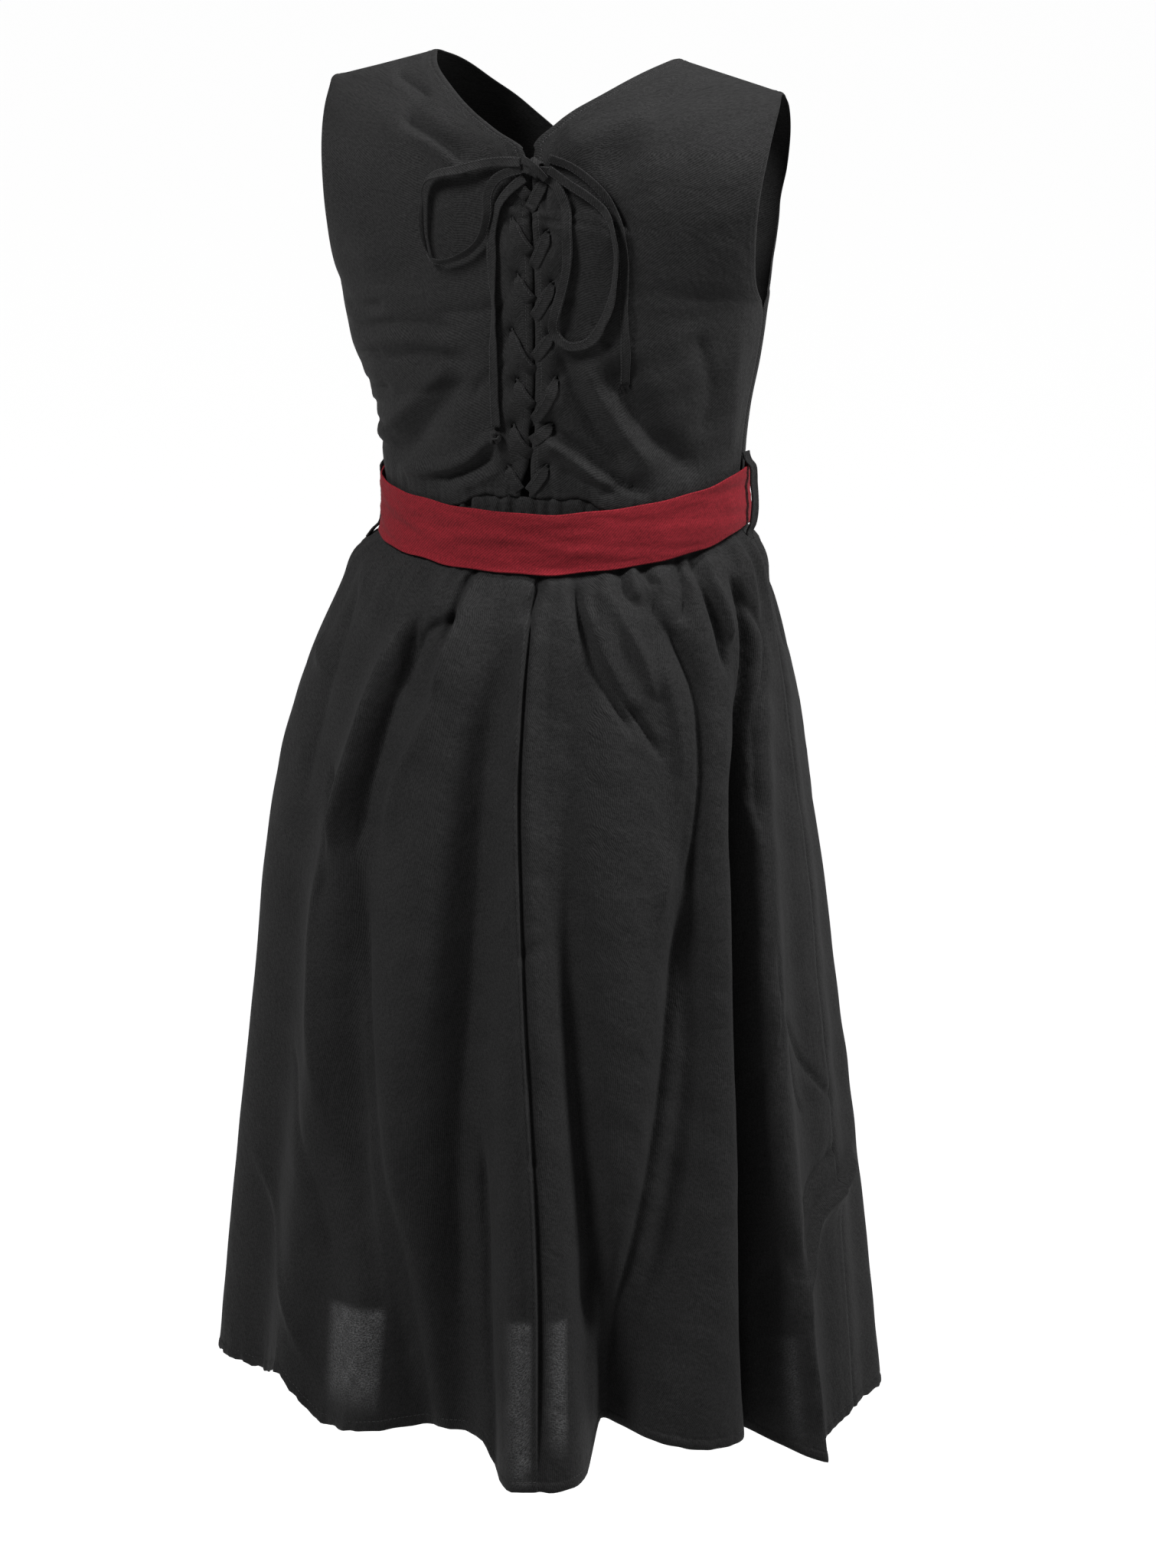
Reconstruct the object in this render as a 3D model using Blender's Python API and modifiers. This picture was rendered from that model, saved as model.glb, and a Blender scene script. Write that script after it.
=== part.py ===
"""A child's long black overdress, laced at the back, with a red sash, filled out with no wearer.

Frame: metres, +Z up. The front faces -Y and the wearer's left is +X. The origin lies midway between
the shoulders, at the height of the neck end of the shoulder seams. Angles round the garment are
degrees from the centre back, positive towards the wearer's left.
"""
import math

import bmesh
import bpy
import numpy as np

# driving sizes
CLOTH = 0.0012
SEAM_GAP = 0.00035
SHOULDER_GAP = 0.0005
WAIST_Z = -0.300
SLIT_X = -0.007
SLIT_HALF = 0.0026
BODICE_COLUMNS = 10
ROW_SAMPLES = 80
ROW_CURVE = 2.2
EDGE_ON_SLIT = 0.003
SHIFT_SPAN = (0.070, 0.020)
SLIT_SPAN = (0.020, 0.120)
SLIT_FADE_ROWS = 1.5
EYELET_NEAR = 0.0085
EYELET_FAR = 0.0125
EYELET_HALF_HEIGHT = 0.0058
EYELET_PITCH = 0.035
EYELET_COUNT = 7
TOP_EYELET = -0.0750
SASH_WIDTH = 0.042
SASH_CLEAR = 0.0050
SASH_STEPS = 60
PUFF_DROP = 0.041
LAG_END = 0.2
LOOP_WIDTH = 0.008
LACE_WIDTH = 0.0075
LACE_THICK = 0.0012
HALF_GATHERS_BACK = 8
FRONT_GATHERS = 10
COLUMNS_A_GATHER = 4
GATHER_WOBBLE = 2.2
SEAM_STRIP = 0.06
SASH_SHARES = (0, 0.33, 0.67, 1)
LAP_ANGLE = 24.0
LAP_STAND = 0.0026
LAP_RISE = 1.8
BODICE_FLARE = 0.15
SLOPE_STEP = 0.002
WELD = 0.00002

# rows of the bodice back: the edge is the slit and then the neckline, the outer side is the side
# seam and then the armhole; middle is how far the row stands out at the centre, and a squareness
# of 2 meets the side seam as an ellipse does
ROW_COLUMNS = ("edge_x", "edge_z", "outer_x", "outer_y", "outer_z", "middle", "square", "shift")
BACK_ROWS = (
    (0.000, -0.300, 0.1285, 0.000, -0.300, 0.092, 2.0, -0.0050),
    (0.000, -0.250, 0.1360, 0.000, -0.250, 0.093, 2.0, -0.0030),
    (0.000, -0.200, 0.1480, 0.000, -0.208, 0.095, 2.0, 0.0010),
    (0.000, -0.160, 0.1535, 0.000, -0.172, 0.096, 1.9, 0.0020),
    (0.000, -0.140, 0.1535, 0.022, -0.161, 0.096, 1.7, 0.0010),
    (0.000, -0.112, 0.1550, 0.040, -0.135, 0.096, 1.5, 0.0000),
    (0.000, -0.080, 0.1585, 0.052, -0.092, 0.095, 1.35, -0.0020),
    (0.002, -0.057, 0.1620, 0.045, -0.062, 0.091, 1.3, -0.0025),
    (0.022, -0.043, 0.1640, 0.030, -0.041, 0.085, 1.2, -0.0020),
    (0.050, -0.026, 0.1645, 0.014, -0.029, 0.069, 1.2, -0.0010),
    (0.076, -0.009, 0.1645, 0.006, -0.0235, 0.040, 1.2, 0.0000),
    (0.088, 0.000, 0.1645, 0.000, -0.022, 0.000, 1.2, 0.0000),
)
FRONT_ROWS = (
    (0.000, -0.300, 0.1285, 0.000, -0.300, 0.098, 2.0, -0.0050),
    (0.000, -0.250, 0.1360, 0.000, -0.250, 0.100, 2.0, -0.0030),
    (0.000, -0.205, 0.1480, 0.000, -0.208, 0.104, 2.0, 0.0010),
    (0.000, -0.165, 0.1535, 0.000, -0.172, 0.106, 1.9, 0.0020),
    (0.000, -0.148, 0.1505, 0.022, -0.162, 0.105, 1.75, 0.0010),
    (0.000, -0.126, 0.1475, 0.040, -0.142, 0.103, 1.6, 0.0000),
    (0.000, -0.096, 0.1475, 0.052, -0.110, 0.098, 1.4, -0.0015),
    (0.022, -0.072, 0.1540, 0.045, -0.080, 0.091, 1.3, -0.0020),
    (0.044, -0.049, 0.1610, 0.028, -0.053, 0.079, 1.2, -0.0015),
    (0.065, -0.028, 0.1640, 0.014, -0.034, 0.061, 1.2, -0.0010),
    (0.080, -0.010, 0.1645, 0.006, -0.0255, 0.034, 1.2, 0.0000),
    (0.088, 0.000, 0.1645, 0.000, -0.022, 0.000, 1.2, 0.0000),
)
V_ROW = 7
RIGHT_NECK_RISE = 0.007

# level sections of the skirt, from the waist down
SECTION_COLUMNS = ("drop", "half_width", "back", "front", "shift")
SKIRT_SECTIONS = (
    (0.000, 0.1285, 0.092, 0.098, -0.0050),
    (0.030, 0.1290, 0.095, 0.100, -0.0060),
    (0.042, 0.1305, 0.097, 0.102, -0.0050),
    (0.050, 0.1395, 0.105, 0.108, -0.0025),
    (0.059, 0.1475, 0.111, 0.113, -0.0005),
    (0.081, 0.1555, 0.122, 0.119, 0.0010),
    (0.148, 0.1775, 0.140, 0.135, 0.0085),
    (0.216, 0.1915, 0.155, 0.148, 0.0135),
    (0.285, 0.2020, 0.167, 0.160, 0.0140),
    (0.354, 0.2080, 0.177, 0.171, 0.0135),
    (0.494, 0.2225, 0.193, 0.189, 0.0130),
    (0.636, 0.2350, 0.204, 0.202, 0.0130),
    (0.700, 0.2385, 0.208, 0.207, 0.0120),
)

# how far the gathers stand in and out at each drop: held flat by the sash, then puffed below it
GATHER_STANDS = ((0.000, 0.0015), (0.043, 0.0015), (0.058, 0.0040), (0.135, 0.0))

# how far the hem hangs below the waist at each angle
HEM_DROPS = (
    (-180, 0.690), (-135, 0.682), (-90, 0.684), (-76, 0.696), (-66, 0.692), (-57, 0.671),
    (-43, 0.668), (-26, 0.655), (-22, 0.684), (-14, 0.686), (-7, 0.684), (-3, 0.664), (10, 0.660),
    (27, 0.666), (38, 0.637), (50, 0.652), (70, 0.652), (90, 0.660), (135, 0.676), (180, 0.690),
)

# folds of the skirt: angles at the top, middle and hem, where the fold starts as a share of the
# drop, how far it stands out at mid drop and at the hem, its half width there, and whether its crest
# is round (2) or flat with steep sides (more)
FOLD_COLUMNS = ("top", "mid", "hem", "start", "out_mid", "out_hem", "wide_mid", "wide_hem", "power")
SKIRT_FOLDS = {
    "left_trough": (21, 26, 9, 0.10, -0.010, -0.014, 4.0, 3.5, 2),
    "left_ridge": (30, 33, 36, 0.12, 0.007, 0.010, 5.0, 6.0, 2),
    "left_outer_trough": (44, 47, 50, 0.20, -0.006, -0.010, 6.0, 6.0, 2),
    "left_side_ridge": (62, 62, 64, 0.15, 0.003, 0.006, 7.0, 7.0, 2),
    "left_panel": (12, 13, 20, 0.05, 0.008, 0.008, 6.0, 5.0, 2),
    "centre_trough": (-1, 0, 1, 0.08, -0.012, -0.022, 5.0, 6.0, 2),
    "centre_tongue": (-9, -12, -14, 0.06, 0.010, 0.026, 6.0, 8.0, 4),
    "right_trough": (-15, -20, -26, 0.10, -0.010, -0.018, 3.5, 3.0, 2),
    "right_ridge": (-26, -31, -34, 0.05, 0.006, 0.002, 6.0, 4.0, 2),
    "slanting_trough": (-40, -46, -28, 0.08, -0.013, -0.024, 4.5, 5.0, 2),
    "right_panel": (-55, -54, -43, 0.08, 0.010, 0.010, 6.0, 8.0, 2),
    "deep_trough": (-70, -61, -57, 0.04, -0.022, -0.026, 3.5, 3.5, 2),
    "side_tip": (-80, -67, -66, 0.06, 0.008, 0.018, 4.0, 4.0, 2),
    "side_trough": (-88, -79, -80, 0.10, -0.006, -0.008, 6.0, 6.0, 2),
    "front_ridge_1": (-106, -108, -104, 0.08, 0.008, 0.014, 6.0, 6.0, 2),
    "front_trough_1": (-120, -118, -117, 0.06, -0.012, -0.022, 5.0, 5.0, 2),
    "front_ridge_2": (-131, -130, -131, 0.08, 0.009, 0.018, 5.5, 6.0, 2),
    "front_trough_2": (-146, -144, -146, 0.12, -0.014, -0.026, 4.0, 5.0, 2),
    "front_ridge_3": (-160, -158, -161, 0.07, 0.009, 0.018, 6.0, 6.5, 2),
    "front_trough_3": (-173, -176, -178, 0.06, -0.012, -0.024, 5.0, 5.0, 2),
    "front_ridge_4": (172, 169, 168, 0.10, 0.008, 0.017, 5.5, 6.0, 2),
    "front_trough_4": (158, 156, 153, 0.08, -0.013, -0.024, 4.5, 5.0, 2),
    "front_ridge_5": (146, 143, 140, 0.06, 0.009, 0.016, 5.0, 5.5, 2),
    "front_trough_5": (131, 130, 127, 0.09, -0.010, -0.020, 5.0, 5.0, 2),
    "front_ridge_6": (118, 117, 114, 0.07, 0.007, 0.014, 6.0, 6.0, 2),
    "front_trough_6": (103, 103, 101, 0.14, -0.008, -0.014, 5.0, 5.0, 2),
    "left_side_trough": (80, 80, 81, 0.15, -0.004, -0.008, 6.0, 6.0, 2),
}
ROW_SHARES = (0, 0.008, 0.045, 0.063, 0.074, 0.086, 0.105, 0.135, 0.175, 0.23, 0.30, 0.38, 0.46,
              0.54, 0.62, 0.70, 0.78, 0.86, 0.93, 1)

# where the centre-back seam hangs at each share of the drop, and how far round that is
SEAM_TURNS = ((0, -3), (0.10, -5), (0.26, -8), (0.50, -11), (0.85, -14), (1, -14))

# height of the sash's upper edge at each angle
SASH_TOPS = ((-180, -0.299), (-90, -0.288), (-50, -0.300), (0, -0.311), (90, -0.302), (180, -0.299))
SASH_END_ANGLES = (-174, -162)

# one arm of the lacing, from its eyelet to the next: distance from the slit's middle (minus on the
# other back), share of the way down to the slit or on to the next eyelet, height over the cloth
ARM_OUTSIDE = (
    (0.0105, 0.00, 0.0000), (0.0099, 0.04, 0.0016), (0.0072, 0.38, 0.0020),
    (0.0044, 0.78, 0.0020), (0.0024, 0.94, 0.0015), (0.0000, 1.00, 0.0000),
)
ARM_INSIDE = (
    (-0.0024, 0.06, -0.0015), (-0.0044, 0.18, -0.0020), (-0.0075, 0.62, -0.0020),
    (-0.0099, 0.97, -0.0016),
)
ARM_START = (
    (0.0013, 0.0060, 0.0010), (0.0013, 0.0060, -0.0010), (0.0024, 0.0058, -0.0020),
    (0.0050, 0.0045, -0.0022), (0.0078, 0.0020, -0.0020), (0.0099, 0.0005, -0.0016),
)
UPRIGHT_IN_SLIT = (0.0043, 0.0065)
UPRIGHT_IN_EYELET = (0.0080, 0.0096)
LEFT_CROSSING = 0.0125
RIGHT_CROSSING = 0.0235

# the tied bow: places on the back as (x, z, height over the cloth)
KNOT = (-0.0125, -0.0660, 0.0057)
KNOT_HALF = (0.0085, 0.0040, 0.0075)
LEFT_LOOP = (
    (-0.0030, -0.0622, 0.0084), (0.0120, -0.0615, 0.0080), (0.0400, -0.0655, 0.0068),
    (0.0625, -0.0780, 0.0066), (0.0660, -0.0960, 0.0066), (0.0640, -0.1210, 0.0064),
    (0.0570, -0.1320, 0.0062), (0.0430, -0.1300, 0.0062), (0.0270, -0.1180, 0.0062),
    (0.0205, -0.1000, 0.0062), (0.0200, -0.0850, 0.0062), (0.0140, -0.0745, 0.0064),
    (0.0040, -0.0695, 0.0064), (-0.0032, -0.0675, 0.0064),
)
RIGHT_LOOP = (
    (-0.0222, -0.0670, 0.0060), (-0.0350, -0.0760, 0.0064), (-0.0500, -0.0850, 0.0064),
    (-0.0635, -0.0980, 0.0062), (-0.0680, -0.1150, 0.0062), (-0.0670, -0.1450, 0.0062),
    (-0.0600, -0.1710, 0.0062), (-0.0480, -0.1880, 0.0062), (-0.0360, -0.1900, 0.0062),
    (-0.0265, -0.1810, 0.0060), (-0.0290, -0.1620, 0.0056), (-0.0350, -0.1380, 0.0050),
    (-0.0360, -0.1120, 0.0042), (-0.0340, -0.0900, 0.0036), (-0.0270, -0.0780, 0.0036),
    (-0.0205, -0.0725, 0.0036),
)
LEFT_TAIL = (
    (-0.0048, -0.0735, 0.0042), (0.0040, -0.0810, 0.0044), (0.0130, -0.0930, 0.0038),
    (0.0175, -0.1080, 0.0030), (0.0185, -0.1350, 0.0028), (0.0175, -0.1650, 0.0028),
    (0.0180, -0.2000, 0.0028), (0.0172, -0.2400, 0.0028), (0.0165, -0.2505, 0.0030),
)
RIGHT_TAIL = (
    (-0.0212, -0.0600, 0.0034), (-0.0350, -0.0640, 0.0030), (-0.0520, -0.0730, 0.0030),
    (-0.0640, -0.0850, 0.0030), (-0.0735, -0.1010, 0.0030), (-0.0780, -0.1300, 0.0030),
    (-0.0785, -0.1650, 0.0030), (-0.0790, -0.2000, 0.0030), (-0.0770, -0.2260, 0.0030),
)
TAIL_KNOT = (0.0160, -0.2570, 0.0046)
TAIL_KNOT_HALF = (0.0045, 0.0035, 0.0058)

BLACK = (0.020, 0.019, 0.020, 1.0)
LACE_BLACK = (0.014, 0.013, 0.014, 1.0)
RED = (0.235, 0.012, 0.020, 1.0)
CLOTH_ROUGHNESS = 0.85
LACE_ROUGHNESS = 0.75
SASH_ROUGHNESS = 0.8
CLOTH_NODES = (
    "bodice_front", "bodice_back_left", "bodice_back_right", "skirt_front", "skirt_back_left",
    "skirt_back_right", "belt_loop_left", "belt_loop_right",
)
LACE_NODES = (
    "lacing_left_run", "lacing_right_run", "bow_knot", "bow_loop_left", "bow_loop_right",
    "bow_tail_left", "bow_tail_right", "tail_knot",
)


def clear_scene():
    for item in list(bpy.data.objects):
        bpy.data.objects.remove(item, do_unlink=True)


def material(name, colour, roughness):
    made = bpy.data.materials.new(name)
    made.use_nodes = True
    shader = made.node_tree.nodes["Principled BSDF"]
    shader.inputs["Base Color"].default_value = colour
    shader.inputs["Roughness"].default_value = roughness
    shader.inputs["Metallic"].default_value = 0.0
    return made


def smooth_curve(known, values, wanted):
    """A curve through the known values that never swings past them."""
    known = np.asarray(known, float)
    values = np.asarray(values, float)
    slopes = np.diff(values) / np.diff(known)
    tangents = np.concatenate([[slopes[0]], (slopes[1:] + slopes[:-1]) / 2, [slopes[-1]]])
    turns = slopes[1:] * slopes[:-1] <= 0
    tangents[1:-1][turns] = 0
    after = np.abs(np.append(slopes, slopes[-1]))
    before = np.abs(np.insert(slopes, 0, slopes[0]))
    limit = 3 * np.minimum(after, before)
    tangents = np.clip(tangents, -limit, limit)
    wanted = np.clip(wanted, known[0], known[-1])
    at = np.clip(np.searchsorted(known, wanted, side="right") - 1, 0, len(known) - 2)
    width = known[at + 1] - known[at]
    share = (wanted - known[at]) / width
    return (
        (2 * share**3 - 3 * share**2 + 1) * values[at]
        + (share**3 - 2 * share**2 + share) * width * tangents[at]
        + (3 * share**2 - 2 * share**3) * values[at + 1]
        + (share**3 - share**2) * width * tangents[at + 1]
    )


def fade(value, full, none):
    """1 at the full value and 0 at the other."""
    return np.clip((none - value) / (none - full), 0, 1)


def table_row(table, columns, place):
    """The table's columns at a place between its rows, counted from 0."""
    places = np.arange(len(table))
    return {
        name: float(smooth_curve(places, [row[column] for row in table], place))
        for column, name in enumerate(columns)
    }


def resample(points, distances):
    """Points at the given distances along a line of points."""
    steps = np.linalg.norm(np.diff(points, axis=0), axis=1)
    along = np.concatenate([[0], np.cumsum(steps)])
    return np.stack([np.interp(distances, along, points[:, axis]) for axis in range(3)], axis=1)


def length_of(points):
    return float(np.linalg.norm(np.diff(points, axis=0), axis=1).sum())


# bodice

def bodice_line(row, facing):
    """One row of the wearer's left half, from its edge to its outer side; facing is 1 for the back."""
    edge = row["edge_x"] / row["outer_x"]
    share = np.sin(np.linspace(math.asin(min(edge, 1)), math.pi / 2, ROW_SAMPLES))
    bulge = np.clip(1 - share**ROW_CURVE, 0, 1) ** (1 / row["square"])
    depth = row["outer_y"] + (row["middle"] - row["outer_y"]) * bulge
    height = row["edge_z"] + (row["outer_z"] - row["edge_z"]) * (share - edge) / (1 - edge)
    return np.stack([share * row["outer_x"], facing * depth, height], axis=1)


def bodice_places(rows, stops):
    """Places in the table of rows whose edge lies at the wanted heights."""
    heights = [row[ROW_COLUMNS.index("edge_z")] for row in rows]
    fine = np.linspace(0, len(rows) - 1, 2001)
    edges = smooth_curve(np.arange(len(rows)), heights, fine)
    return [float(fine[np.argmin(np.abs(edges - stop))]) for stop in stops]


def bodice_grid(rows, facing, places, first_columns, edge_gap, side):
    """Lines of one half of a bodice piece; side is 1 for the wearer's left and -1 for the right."""
    grid = []
    last = len(rows) - 1
    for place in places:
        row = table_row(rows, ROW_COLUMNS, place)
        points = bodice_line(row, facing)
        start = edge_gap if row["edge_x"] < EDGE_ON_SLIT else 0
        end = length_of(points) - SEAM_GAP
        near = [start] + first_columns
        rest = np.linspace(near[-1], end, BODICE_COLUMNS + 2 - len(near))[1:]
        line = resample(points, np.concatenate([near, rest]))
        if place == last:
            line[:, 1] += facing * SHOULDER_GAP
        if place == 0:
            line[:, 2] += SEAM_GAP
        shift = row["shift"] * fade(line[:, 0], *SHIFT_SPAN)
        line[:, 0] = line[:, 0] * side + shift
        grid.append(line)
    return grid


def mesh_object(name, collection, points, faces, paint):
    """A named object; faces on which two corners share a place are welded."""
    mesh = bpy.data.meshes.new(name)
    build = bmesh.new()
    corners = [build.verts.new(point) for point in points]
    for face in faces:
        build.faces.new([corners[corner] for corner in face])
    bmesh.ops.remove_doubles(build, verts=build.verts[:], dist=WELD)
    bmesh.ops.recalc_face_normals(build, faces=build.faces[:])
    build.to_mesh(mesh)
    build.free()
    mesh.materials.append(paint)
    mesh.shade_smooth()
    made = bpy.data.objects.new(name, mesh)
    collection.objects.link(made)
    return made


def solidify(item, thickness=CLOTH):
    wall = item.modifiers.new("Wall", "SOLIDIFY")
    wall.thickness = thickness
    wall.offset = 0.0
    wall.use_even_offset = False
    return item


def grid_faces(rows, columns, start=0, holes=(), flip=False):
    """Quads of a grid of points in rows; holes are (row, column) places left open."""
    faces = []
    for row in range(rows - 1):
        for column in range(columns - 1):
            if (row, column) in holes:
                continue
            first = start + row * columns + column
            quad = [first, first + 1, first + columns + 1, first + columns]
            faces.append(quad[::-1] if flip else quad)
    return faces


def eyelet_heights():
    """From the lowest eyelet up."""
    return [TOP_EYELET - EYELET_PITCH * at for at in reversed(range(EYELET_COUNT))]


def eyelet_stops():
    """Heights of the back's lower rows: the top and foot of each eyelet and one row between."""
    stops = []
    for height in eyelet_heights():
        stops += [height - EYELET_HALF_HEIGHT, height + EYELET_HALF_HEIGHT]
    between = [(stops[at] + stops[at + 1]) / 2 for at in range(1, len(stops) - 1, 2)]
    return sorted(stops + between)


def back_places():
    lower = [0] + bodice_places(BACK_ROWS, eyelet_stops())
    return lower + list(np.linspace(V_ROW, len(BACK_ROWS) - 1, 8))


def bodice_back(name, collection, paint, side):
    """One back, with its edge along the slit and its eyelets."""
    places = back_places()
    grid = bodice_grid(BACK_ROWS, 1, places, [EYELET_NEAR, EYELET_FAR], SLIT_HALF, side)
    points = []
    for place, line in zip(places, grid):
        near = fade(np.abs(line[:, 0]), *SLIT_SPAN)
        line[:, 0] += SLIT_X * near * fade(place, V_ROW, V_ROW + SLIT_FADE_ROWS)
        if side < 0 and place > V_ROW:
            share = (place - V_ROW) / (len(BACK_ROWS) - 1 - V_ROW)
            rise = RIGHT_NECK_RISE * math.sin(math.pi * share**0.8)
            line[:, 2] += rise * np.linspace(1, 0, len(line)) ** 1.5
        points += [tuple(point) for point in line]
    stops = eyelet_stops()
    holes = {(1 + stops.index(height - EYELET_HALF_HEIGHT), 1) for height in eyelet_heights()}
    faces = grid_faces(len(grid), BODICE_COLUMNS + 1, holes=holes, flip=side < 0)
    return solidify(mesh_object(name, collection, points, faces, paint))


def bodice_front(name, collection, paint):
    places = [0, 0.5, 1, 1.5, 2, 2.5, 3, 3.5, 4, 4.5, 5, 5.5]
    places += list(np.linspace(6, len(FRONT_ROWS) - 1, 9))
    points = []
    faces = []
    for side in (1, -1):
        start = len(points)
        grid = bodice_grid(FRONT_ROWS, -1, places, [], 0, side)
        points += [tuple(point) for line in grid for point in line]
        faces += grid_faces(len(grid), BODICE_COLUMNS + 1, start=start, flip=side > 0)
    return solidify(mesh_object(name, collection, points, faces, paint))


# skirt

def gather_angle(wave, drop_share):
    """The angle at which a gather's phase is reached; gathers are unevenly wide."""
    if abs(wave) <= HALF_GATHERS_BACK:
        share = wave / HALF_GATHERS_BACK
        turns = [row[1] for row in SEAM_TURNS]
        seam = float(smooth_curve([row[0] for row in SEAM_TURNS], turns, drop_share))
        wobble = GATHER_WOBBLE * math.sin(math.pi * 3 * share)
        return 90 * share + wobble + seam * (1 - abs(share))
    over = abs(wave) - HALF_GATHERS_BACK
    share = over / FRONT_GATHERS * 2
    return math.copysign(90 + 90 * share + GATHER_WOBBLE * math.sin(math.pi * 2 * share), wave)


def gather_strength(wave):
    return 0.75 + 0.25 * math.sin(2.3 * wave) * math.cos(0.9 * wave)


def fold_stand(angle, share):
    """How far the folds push the skirt out at an angle and a share of its drop."""
    stand = 0.0
    for values in SKIRT_FOLDS.values():
        fold = dict(zip(FOLD_COLUMNS, values))
        if share <= fold["start"]:
            continue
        middle = float(smooth_curve((0, 0.5, 1), (fold["top"], fold["mid"], fold["hem"]), share))
        away = abs((angle - middle + 180) % 360 - 180)
        out = np.interp(share, (fold["start"], 0.5, 1), (0, fold["out_mid"], fold["out_hem"]))
        wide = np.interp(share, (0, 0.5, 1), (fold["wide_mid"] + 1, fold["wide_mid"], fold["wide_hem"]))
        stand += out * math.exp(-((away / wide) ** fold["power"]))
    return stand


def skirt_section(drop):
    drops = [row[0] for row in SKIRT_SECTIONS]
    return {
        name: float(smooth_curve(drops, [row[column] for row in SKIRT_SECTIONS], drop))
        for column, name in enumerate(SECTION_COLUMNS)
    }


def ring_place(section, angle, stand, height):
    """A point of a level ring, pushed out along the ring's normal."""
    turn = math.radians(angle)
    depth = section["back"] if math.cos(turn) >= 0 else section["front"]
    place = np.array([section["half_width"] * math.sin(turn), depth * math.cos(turn)])
    normal = np.array([math.sin(turn) / section["half_width"], math.cos(turn) / depth])
    normal /= np.linalg.norm(normal)
    place += normal * stand
    return np.array([place[0] + section["shift"], place[1], height])


def hem_drop(angle):
    return float(smooth_curve([row[0] for row in HEM_DROPS], [row[1] for row in HEM_DROPS], angle))


def puff_lag(angle, drop):
    """How much lower than the table's the puff starts, to follow the foot of the slanting sash."""
    foot = WAIST_Z - (sash_top(angle) - SASH_WIDTH)
    return (foot - PUFF_DROP) * max(0.0, 1 - drop / LAG_END)


def skirt_place(wave, share):
    angle = gather_angle(wave, share)
    drop = share * hem_drop(angle)
    level = max(0.0, drop - puff_lag(angle, drop))
    ruffle = np.interp(level, [row[0] for row in GATHER_STANDS], [row[1] for row in GATHER_STANDS])
    ruffle *= gather_strength(wave) * math.sin(2 * math.pi * wave)
    return ring_place(
        skirt_section(level), angle, ruffle + fold_stand(angle, share), WAIST_Z - SEAM_GAP - drop
    )


def skirt_panel(name, collection, paint, waves):
    """A panel through the given gathers, with a narrow strip along each side seam."""
    waves = [waves[0], waves[0] + SEAM_STRIP] + list(waves[1:-1]) + [waves[-1] - SEAM_STRIP, waves[-1]]
    points = []
    for share in ROW_SHARES:
        line = np.array([skirt_place(wave, share) for wave in waves])
        length = length_of(line)
        line[0] = resample(line, [SEAM_GAP])[0]
        line[-1] = resample(line, [length - SEAM_GAP])[0]
        points += [tuple(point) for point in line]
    faces = grid_faces(len(ROW_SHARES), len(waves))
    return solidify(mesh_object(name, collection, points, faces, paint))


def back_waves(side):
    half = HALF_GATHERS_BACK
    waves = np.linspace(0, side * half, half * COLUMNS_A_GATHER + 1)
    return waves if side > 0 else waves[::-1]


def front_waves():
    """The front's gathers run on from the backs', through the centre front."""
    half = HALF_GATHERS_BACK
    quarter = FRONT_GATHERS / 2
    columns = FRONT_GATHERS * COLUMNS_A_GATHER // 2
    left = list(np.linspace(half, half + quarter, columns + 1))
    right = list(np.linspace(-half - quarter, -half, columns + 1))[1:]
    return left + right


# sash and its loops

def waist_ring(height, angle, stand):
    """A point on the bodice's foot or the skirt's head, moved out."""
    drop = max(0.0, WAIST_Z - height)
    section = skirt_section(max(0.0, drop - puff_lag(angle, drop)))
    above = max(0.0, height - WAIST_Z)
    section["half_width"] += BODICE_FLARE * above
    return ring_place(section, angle, stand, height)


def sash_top(angle):
    angle = (angle + 180) % 360 - 180
    return float(smooth_curve([row[0] for row in SASH_TOPS], [row[1] for row in SASH_TOPS], angle))


def sash(name, collection, paint):
    """An open band whose hidden ends lap at the front."""
    start, end = SASH_END_ANGLES[0], SASH_END_ANGLES[1] + 360
    points = []
    for angle in np.linspace(start, end, SASH_STEPS + 1):
        lap = max(0.0, 1 - (end - angle) / LAP_ANGLE)
        stand = SASH_CLEAR + LAP_STAND * min(1.0, lap * LAP_RISE)
        for share in SASH_SHARES:
            points.append(waist_ring(sash_top(angle) - SASH_WIDTH * share, angle, stand))
    faces = grid_faces(SASH_STEPS + 1, len(SASH_SHARES))
    return solidify(mesh_object(name, collection, points, faces, paint))


def ribbon(name, collection, paint, centres, acrosses, width, thickness):
    """A flat strip along centres, its width along the acrosses."""
    points = []
    for centre, across in zip(centres, acrosses):
        across = across / np.linalg.norm(across)
        points.append(centre - across * width / 2)
        points.append(centre + across * width / 2)
    faces = grid_faces(len(centres), 2)
    return solidify(mesh_object(name, collection, points, faces, paint), thickness)


def belt_loop(name, collection, paint, side):
    """A strip over the sash at a side seam, clear of the sash by a finger's slack."""
    angle = 90 * side
    top = sash_top(angle)
    foot = top - SASH_WIDTH
    route = (
        (top + 0.0095, 0.0022), (top + 0.0050, 0.0036), (top + 0.0010, 0.0078),
        ((top * 3 + foot) / 4, 0.0106), ((top + foot) / 2, 0.0114), ((top + foot * 3) / 4, 0.0108),
        (foot - 0.0015, 0.0082), (foot - 0.0060, 0.0046), (foot - 0.0100, 0.0043),
    )
    centres = [waist_ring(height, angle, stand) for height, stand in route]
    across = np.array([0.0, 1.0, 0.0])
    return ribbon(name, collection, paint, centres, [across] * len(centres), LOOP_WIDTH, CLOTH)


# lace

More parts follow.
